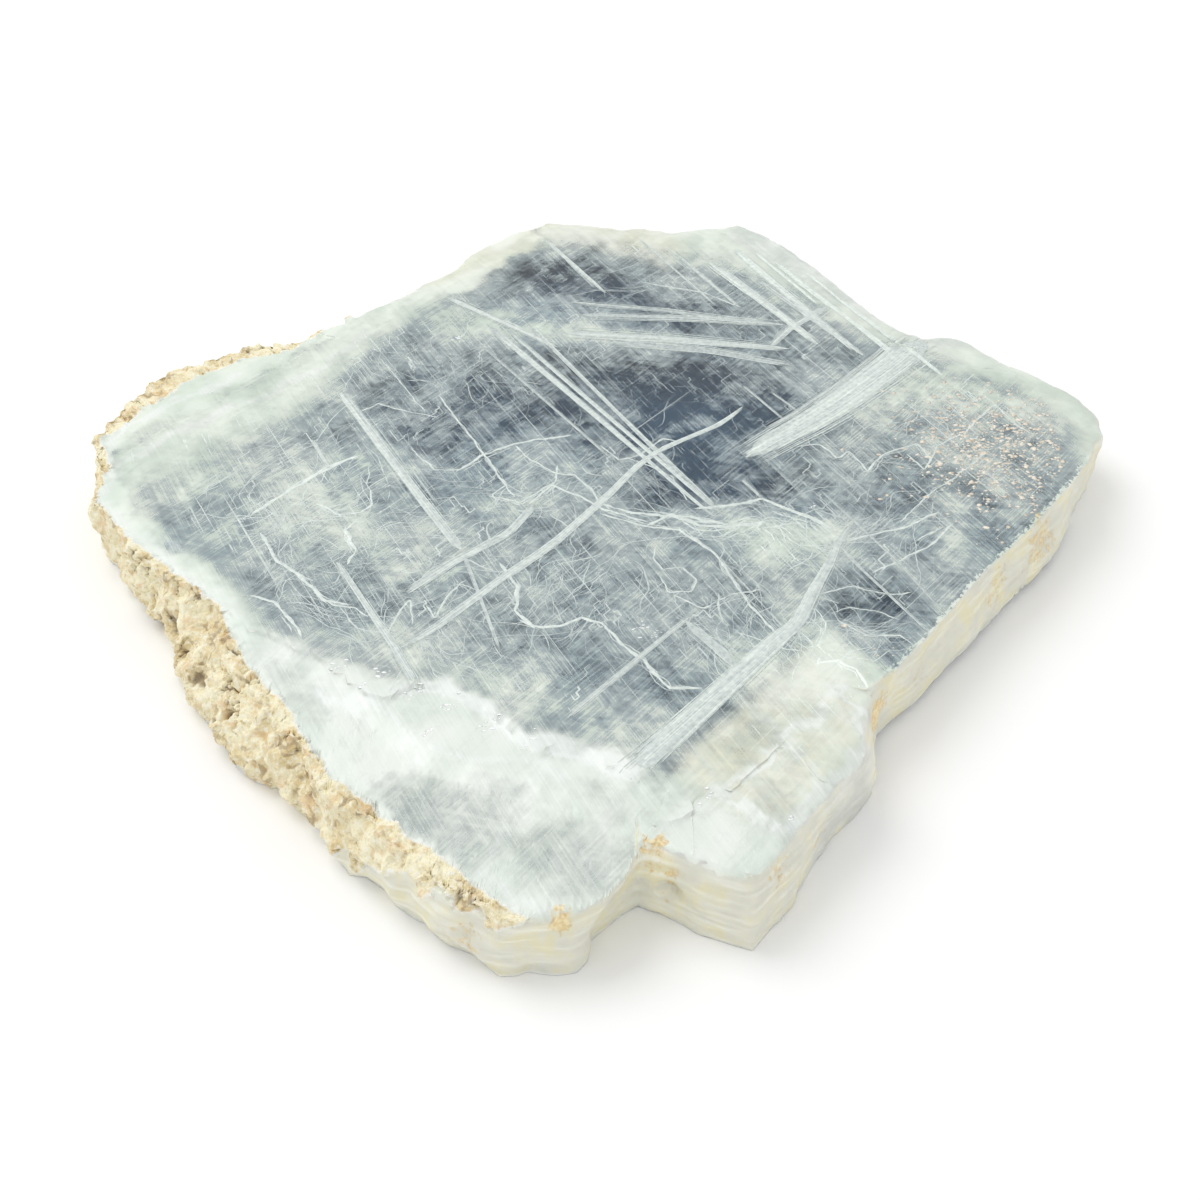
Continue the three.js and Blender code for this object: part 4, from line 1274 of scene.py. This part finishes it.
def veils(face):
    """Webs of fine curling threads."""
    paths, widths = [], []
    for centre, half_sizes, turn, count, run in VEILS:
        way = along(math.radians(turn))
        spread = rng.normal(0, 0.55, (count, 2)) * np.array(half_sizes)
        place = np.array(centre) + spread[:, :1] * way + spread[:, 1:] * turned(way)
        place = place[on_top(place, 2.0)]
        count = len(place)
        stride = rng.gamma(3.0, 0.25, count).clip(0.25, 1.6)
        heading = math.radians(run) + np.where(rng.uniform(0, 1, count) < 0.5, 0, math.pi)
        heading = heading + rng.normal(0, 0.45, count)
        own = rng.uniform(0, 6, count)
        points = [place]
        for _ in range(VEIL_POINTS - 1):
            spot = at_height(points[-1], 1.5 * own)
            swirl = 1.5 * rough(spot, size=9.0, octaves=2, seed=51.0)
            swirl += 0.45 * rough(spot, size=2.6, octaves=2, seed=53.0)
            points.append(points[-1] + ways(heading + swirl) * stride[:, None])
        paths.append(np.stack(points, axis=1))
        taper = np.sin(np.linspace(0, math.pi, VEIL_POINTS))[None] ** 0.6
        widths.append(rng.gamma(2.0, 0.022, count).clip(0.02, 0.2)[:, None] * taper)
    paths = np.concatenate(paths)
    lighter = rng.uniform(0.04, 0.34, len(paths))
    return threads("veils", face, paths, np.concatenate(widths), 0.3, lighter)


def winding_cracks(face):
    """The thin cracks that wander: an uneven thread with a few finer ones beside it."""
    paths, widths = [], []
    for number, (line, half) in enumerate(WINDING):
        for thread in range(THREADS_EACH):
            main = thread == 0
            reach = 1.0 if main else rng.uniform(0.25, 0.7)
            start = 0.0 if main else rng.uniform(0, 1 - reach)
            share = start + reach * np.linspace(0, 1, CRACK_POINTS)
            path, unit, length = placed(line, share)
            spot = at_height(path, 20.0 * number + 7.0 * thread)
            stray = 0.28 * rough(spot, size=2.4, seed=81.0)
            if not main:
                stray += rng.normal(0, 2.2 * half) + 2.5 * half * rough(spot, size=5.0, octaves=2, seed=82.0)
            paths.append(path + sideways_of(unit) * stray[:, None])
            taper = smooth(np.minimum(share - start, start + reach - share) * length, -0.8, 1.5)
            own = half if main else half * rng.uniform(0.25, 0.5)
            uneven = 1 + 0.7 * rough(spot, size=2.0, octaves=2, seed=83.0)
            widths.append(own * taper * uneven.clip(0.25, 2))
    paths, whole, level = face.laid(np.array(paths), THREAD_ABOVE)
    widths = np.array(widths)[whole]
    own = np.where(np.arange(len(level)) % THREADS_EACH == 0, 0.72, 0.5)
    tone = np.maximum(own, level + 0.2)[whole]
    return strands("winding_cracks", paths[whole], widths, 0.02 + 0.1 * widths, tone)


def lumps(name, centres, sizes):
    """Small uneven grains as one mesh, each a squashed icosahedron."""
    t = (1 + math.sqrt(5)) / 2
    shape = np.array([
        (-1, t, 0), (1, t, 0), (-1, -t, 0), (1, -t, 0), (0, -1, t), (0, 1, t),
        (0, -1, -t), (0, 1, -t), (t, 0, -1), (t, 0, 1), (-t, 0, -1), (-t, 0, 1),
    ]) / math.hypot(1, t)
    faces = np.array([
        (0, 11, 5), (0, 5, 1), (0, 1, 7), (0, 7, 10), (0, 10, 11), (1, 5, 9), (5, 11, 4),
        (11, 10, 2), (10, 7, 6), (7, 1, 8), (3, 9, 4), (3, 4, 2), (3, 2, 6), (3, 6, 8),
        (3, 8, 9), (4, 9, 5), (2, 4, 11), (6, 2, 10), (8, 6, 7), (9, 8, 1),
    ])
    count = len(centres)
    uneven = rng.uniform(0.7, 1.25, (count, len(shape), 1))
    corners = centres[:, None] + shape[None] * uneven * sizes[:, None]
    triangles = faces[None] + (np.arange(count) * len(shape))[:, None, None]
    return new_mesh(name, corners.reshape(-1, 3), triangles.reshape(-1, 3))


def sand_grains(face):
    """The beige grains near the right corner, and a few beside the block."""
    place = np.array([67, 7]) + rng.normal(0, 1, (SAND_GRAINS, 2)) * np.array([7.5, 10.5])
    loose = np.array([44, -47]) + rng.normal(0, 1, (LOOSE_GRAINS, 2)) * np.array([5, 3.5])
    place = np.vstack([place, loose])
    place = place[on_top(place, 1.0)]
    count = len(place)
    size = rng.gamma(1.8, 0.09, count).clip(0.05, 0.55)
    centres, _, _ = face.laid(place[:, None], 0.0)
    long = size * rng.uniform(0.8, 1.4, count)
    short = size * rng.uniform(0.7, 1.1, count)
    return lumps("sand_grains", centres[:, 0], np.column_stack([long, short, np.full(count, 0.05)]))


def painted_glint_flakes(face):
    """Clusters of small bright flakes: painted glints where a crack mirrors the light."""
    spots = np.repeat(np.array(FLASHES), FLAKES_EACH, axis=0)
    spread = spots[:, 2:3] * 0.6
    way = along(CLEAVAGE_B)
    offset = rng.normal(0, 1, (len(spots), 2)) * spread
    place = spots[:, :2] + offset[:, :1] * way * 1.4 + offset[:, 1:] * turned(way) * 0.5
    centres, whole, _ = face.laid(place[:, None], 0.0)
    centres = centres[whole, 0]
    count = len(centres)
    size = (spread[whole, 0] * rng.uniform(0.15, 0.45, count)).clip(0.12, 0.6)
    long = size * rng.uniform(0.8, 1.6, count)
    return lumps("painted_glint_flakes", centres, np.column_stack([long, size * 0.6, np.full(count, 0.04)]))


def build_slab():
    corners, triangles = slab_surface()
    moved, crust, pit_and_painted_shade, upward = weathered(corners, triangles)
    masks = slab_masks(corners, crust, upward)
    masks["pit_and_painted_shade"] = pit_and_painted_shade
    masks["rim"] = rim_share(corners, upward)
    slab = new_mesh("slab", moved, triangles)
    for name, values in masks.items():
        give_values(slab, name, values)
    slab.data.shade_smooth()
    slab.data.set_sharp_from_angle(angle=SHARP_EDGE)
    for material in (crystal_material(), wall_material(), crust_material()):
        slab.data.materials.append(material)
    height = corners[triangles][:, :, 2].mean(axis=1)
    normals = face_normals(moved, triangles)
    slope = np.abs(normals[:, 2]) / (np.linalg.norm(normals, axis=1) + TINY)
    glassy = (slope > GLASSY_SLOPE) & ((height > UPPER_SIDE + 1) | (height < 2 * LEVEL_GAP))
    kind = np.where(crust[triangles].mean(axis=1) > 0.5, 2, np.where(glassy, 0, 1))
    slab.data.polygons.foreach_set("material_index", kind.astype(np.int32))
    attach(slab, "root")
    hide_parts(NODE)
    return Face(moved, triangles, masks["level"])


def build_veins(face):
    white = vein_material()
    beige = grain_material("grain_beige", GRAIN_BEIGE, 0.6)
    # The flakes' near-white is a painted glint.
    glint = grain_material("painted_glint_white", GLINT_WHITE, 0.15)
    makers = [(bands, white), (band_fibres, white), (winding_cracks, white), (hairlines, white),
              (cleavage_steps, white), (veils, white), (sand_grains, beige), (painted_glint_flakes, glint)]
    for make, material in makers:
        piece = make(face)
        piece.data.materials.append(material)
        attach(piece, "root")


def build_floor():
    square = np.array([(-1, -1), (1, -1), (1, 1), (-1, 1)]) * FLOOR_HALF
    floor = new_mesh("floor", at_height(square, FLOOR_HEIGHT), np.array([(0, 1, 2), (0, 2, 3)]))
    n = Nodes("floor_white")
    n.surface("Base Color", (FLOOR_GREY, FLOOR_GREY, FLOOR_GREY))
    n.surface("Roughness", FLOOR_ROUGHNESS)
    n.surface("Specular IOR Level", 0.0)
    floor.data.materials.append(n.material)


def build_light():
    world = bpy.data.worlds.new("studio")
    world.use_nodes = True
    surroundings = world.node_tree.nodes["Background"]
    surroundings.inputs["Color"].default_value = (1, 1, 1, 1)
    surroundings.inputs["Strength"].default_value = SURROUNDINGS_STRENGTH
    bpy.context.scene.world = world
    data = bpy.data.lights.new("key", "AREA")
    data.shape = "DISK"
    data.size = LAMP_SIZE
    data.energy = LAMP_POWER
    lamp = bpy.data.objects.new("key", data)
    lamp.location = LAMP_PLACE
    lamp.rotation_euler = (-Vector(LAMP_PLACE)).to_track_quat("-Z", "Y").to_euler()
    bpy.context.scene.collection.objects.link(lamp)


def build_camera():
    scene = bpy.context.scene
    data = bpy.data.cameras.new("camera")
    data.lens = LENS_MM
    camera = bpy.data.objects.new("camera", data)
    camera.location = Vector(CAMERA_PLACE) * MM
    camera.rotation_euler = (math.radians(90 - CAMERA_ELEVATION_DEG), 0, 0)
    scene.collection.objects.link(camera)
    scene.camera = camera
    scene.view_settings.view_transform = "Standard"
    scene.cycles.max_bounces = INNER_BOUNCES
    scene.cycles.transmission_bounces = INNER_BOUNCES
    scene.cycles.diffuse_bounces = DIFFUSE_BOUNCES
    scene.cycles.glossy_bounces = GLOSSY_BOUNCES


build_light()
build_camera()
build_floor()
build_veins(build_slab())
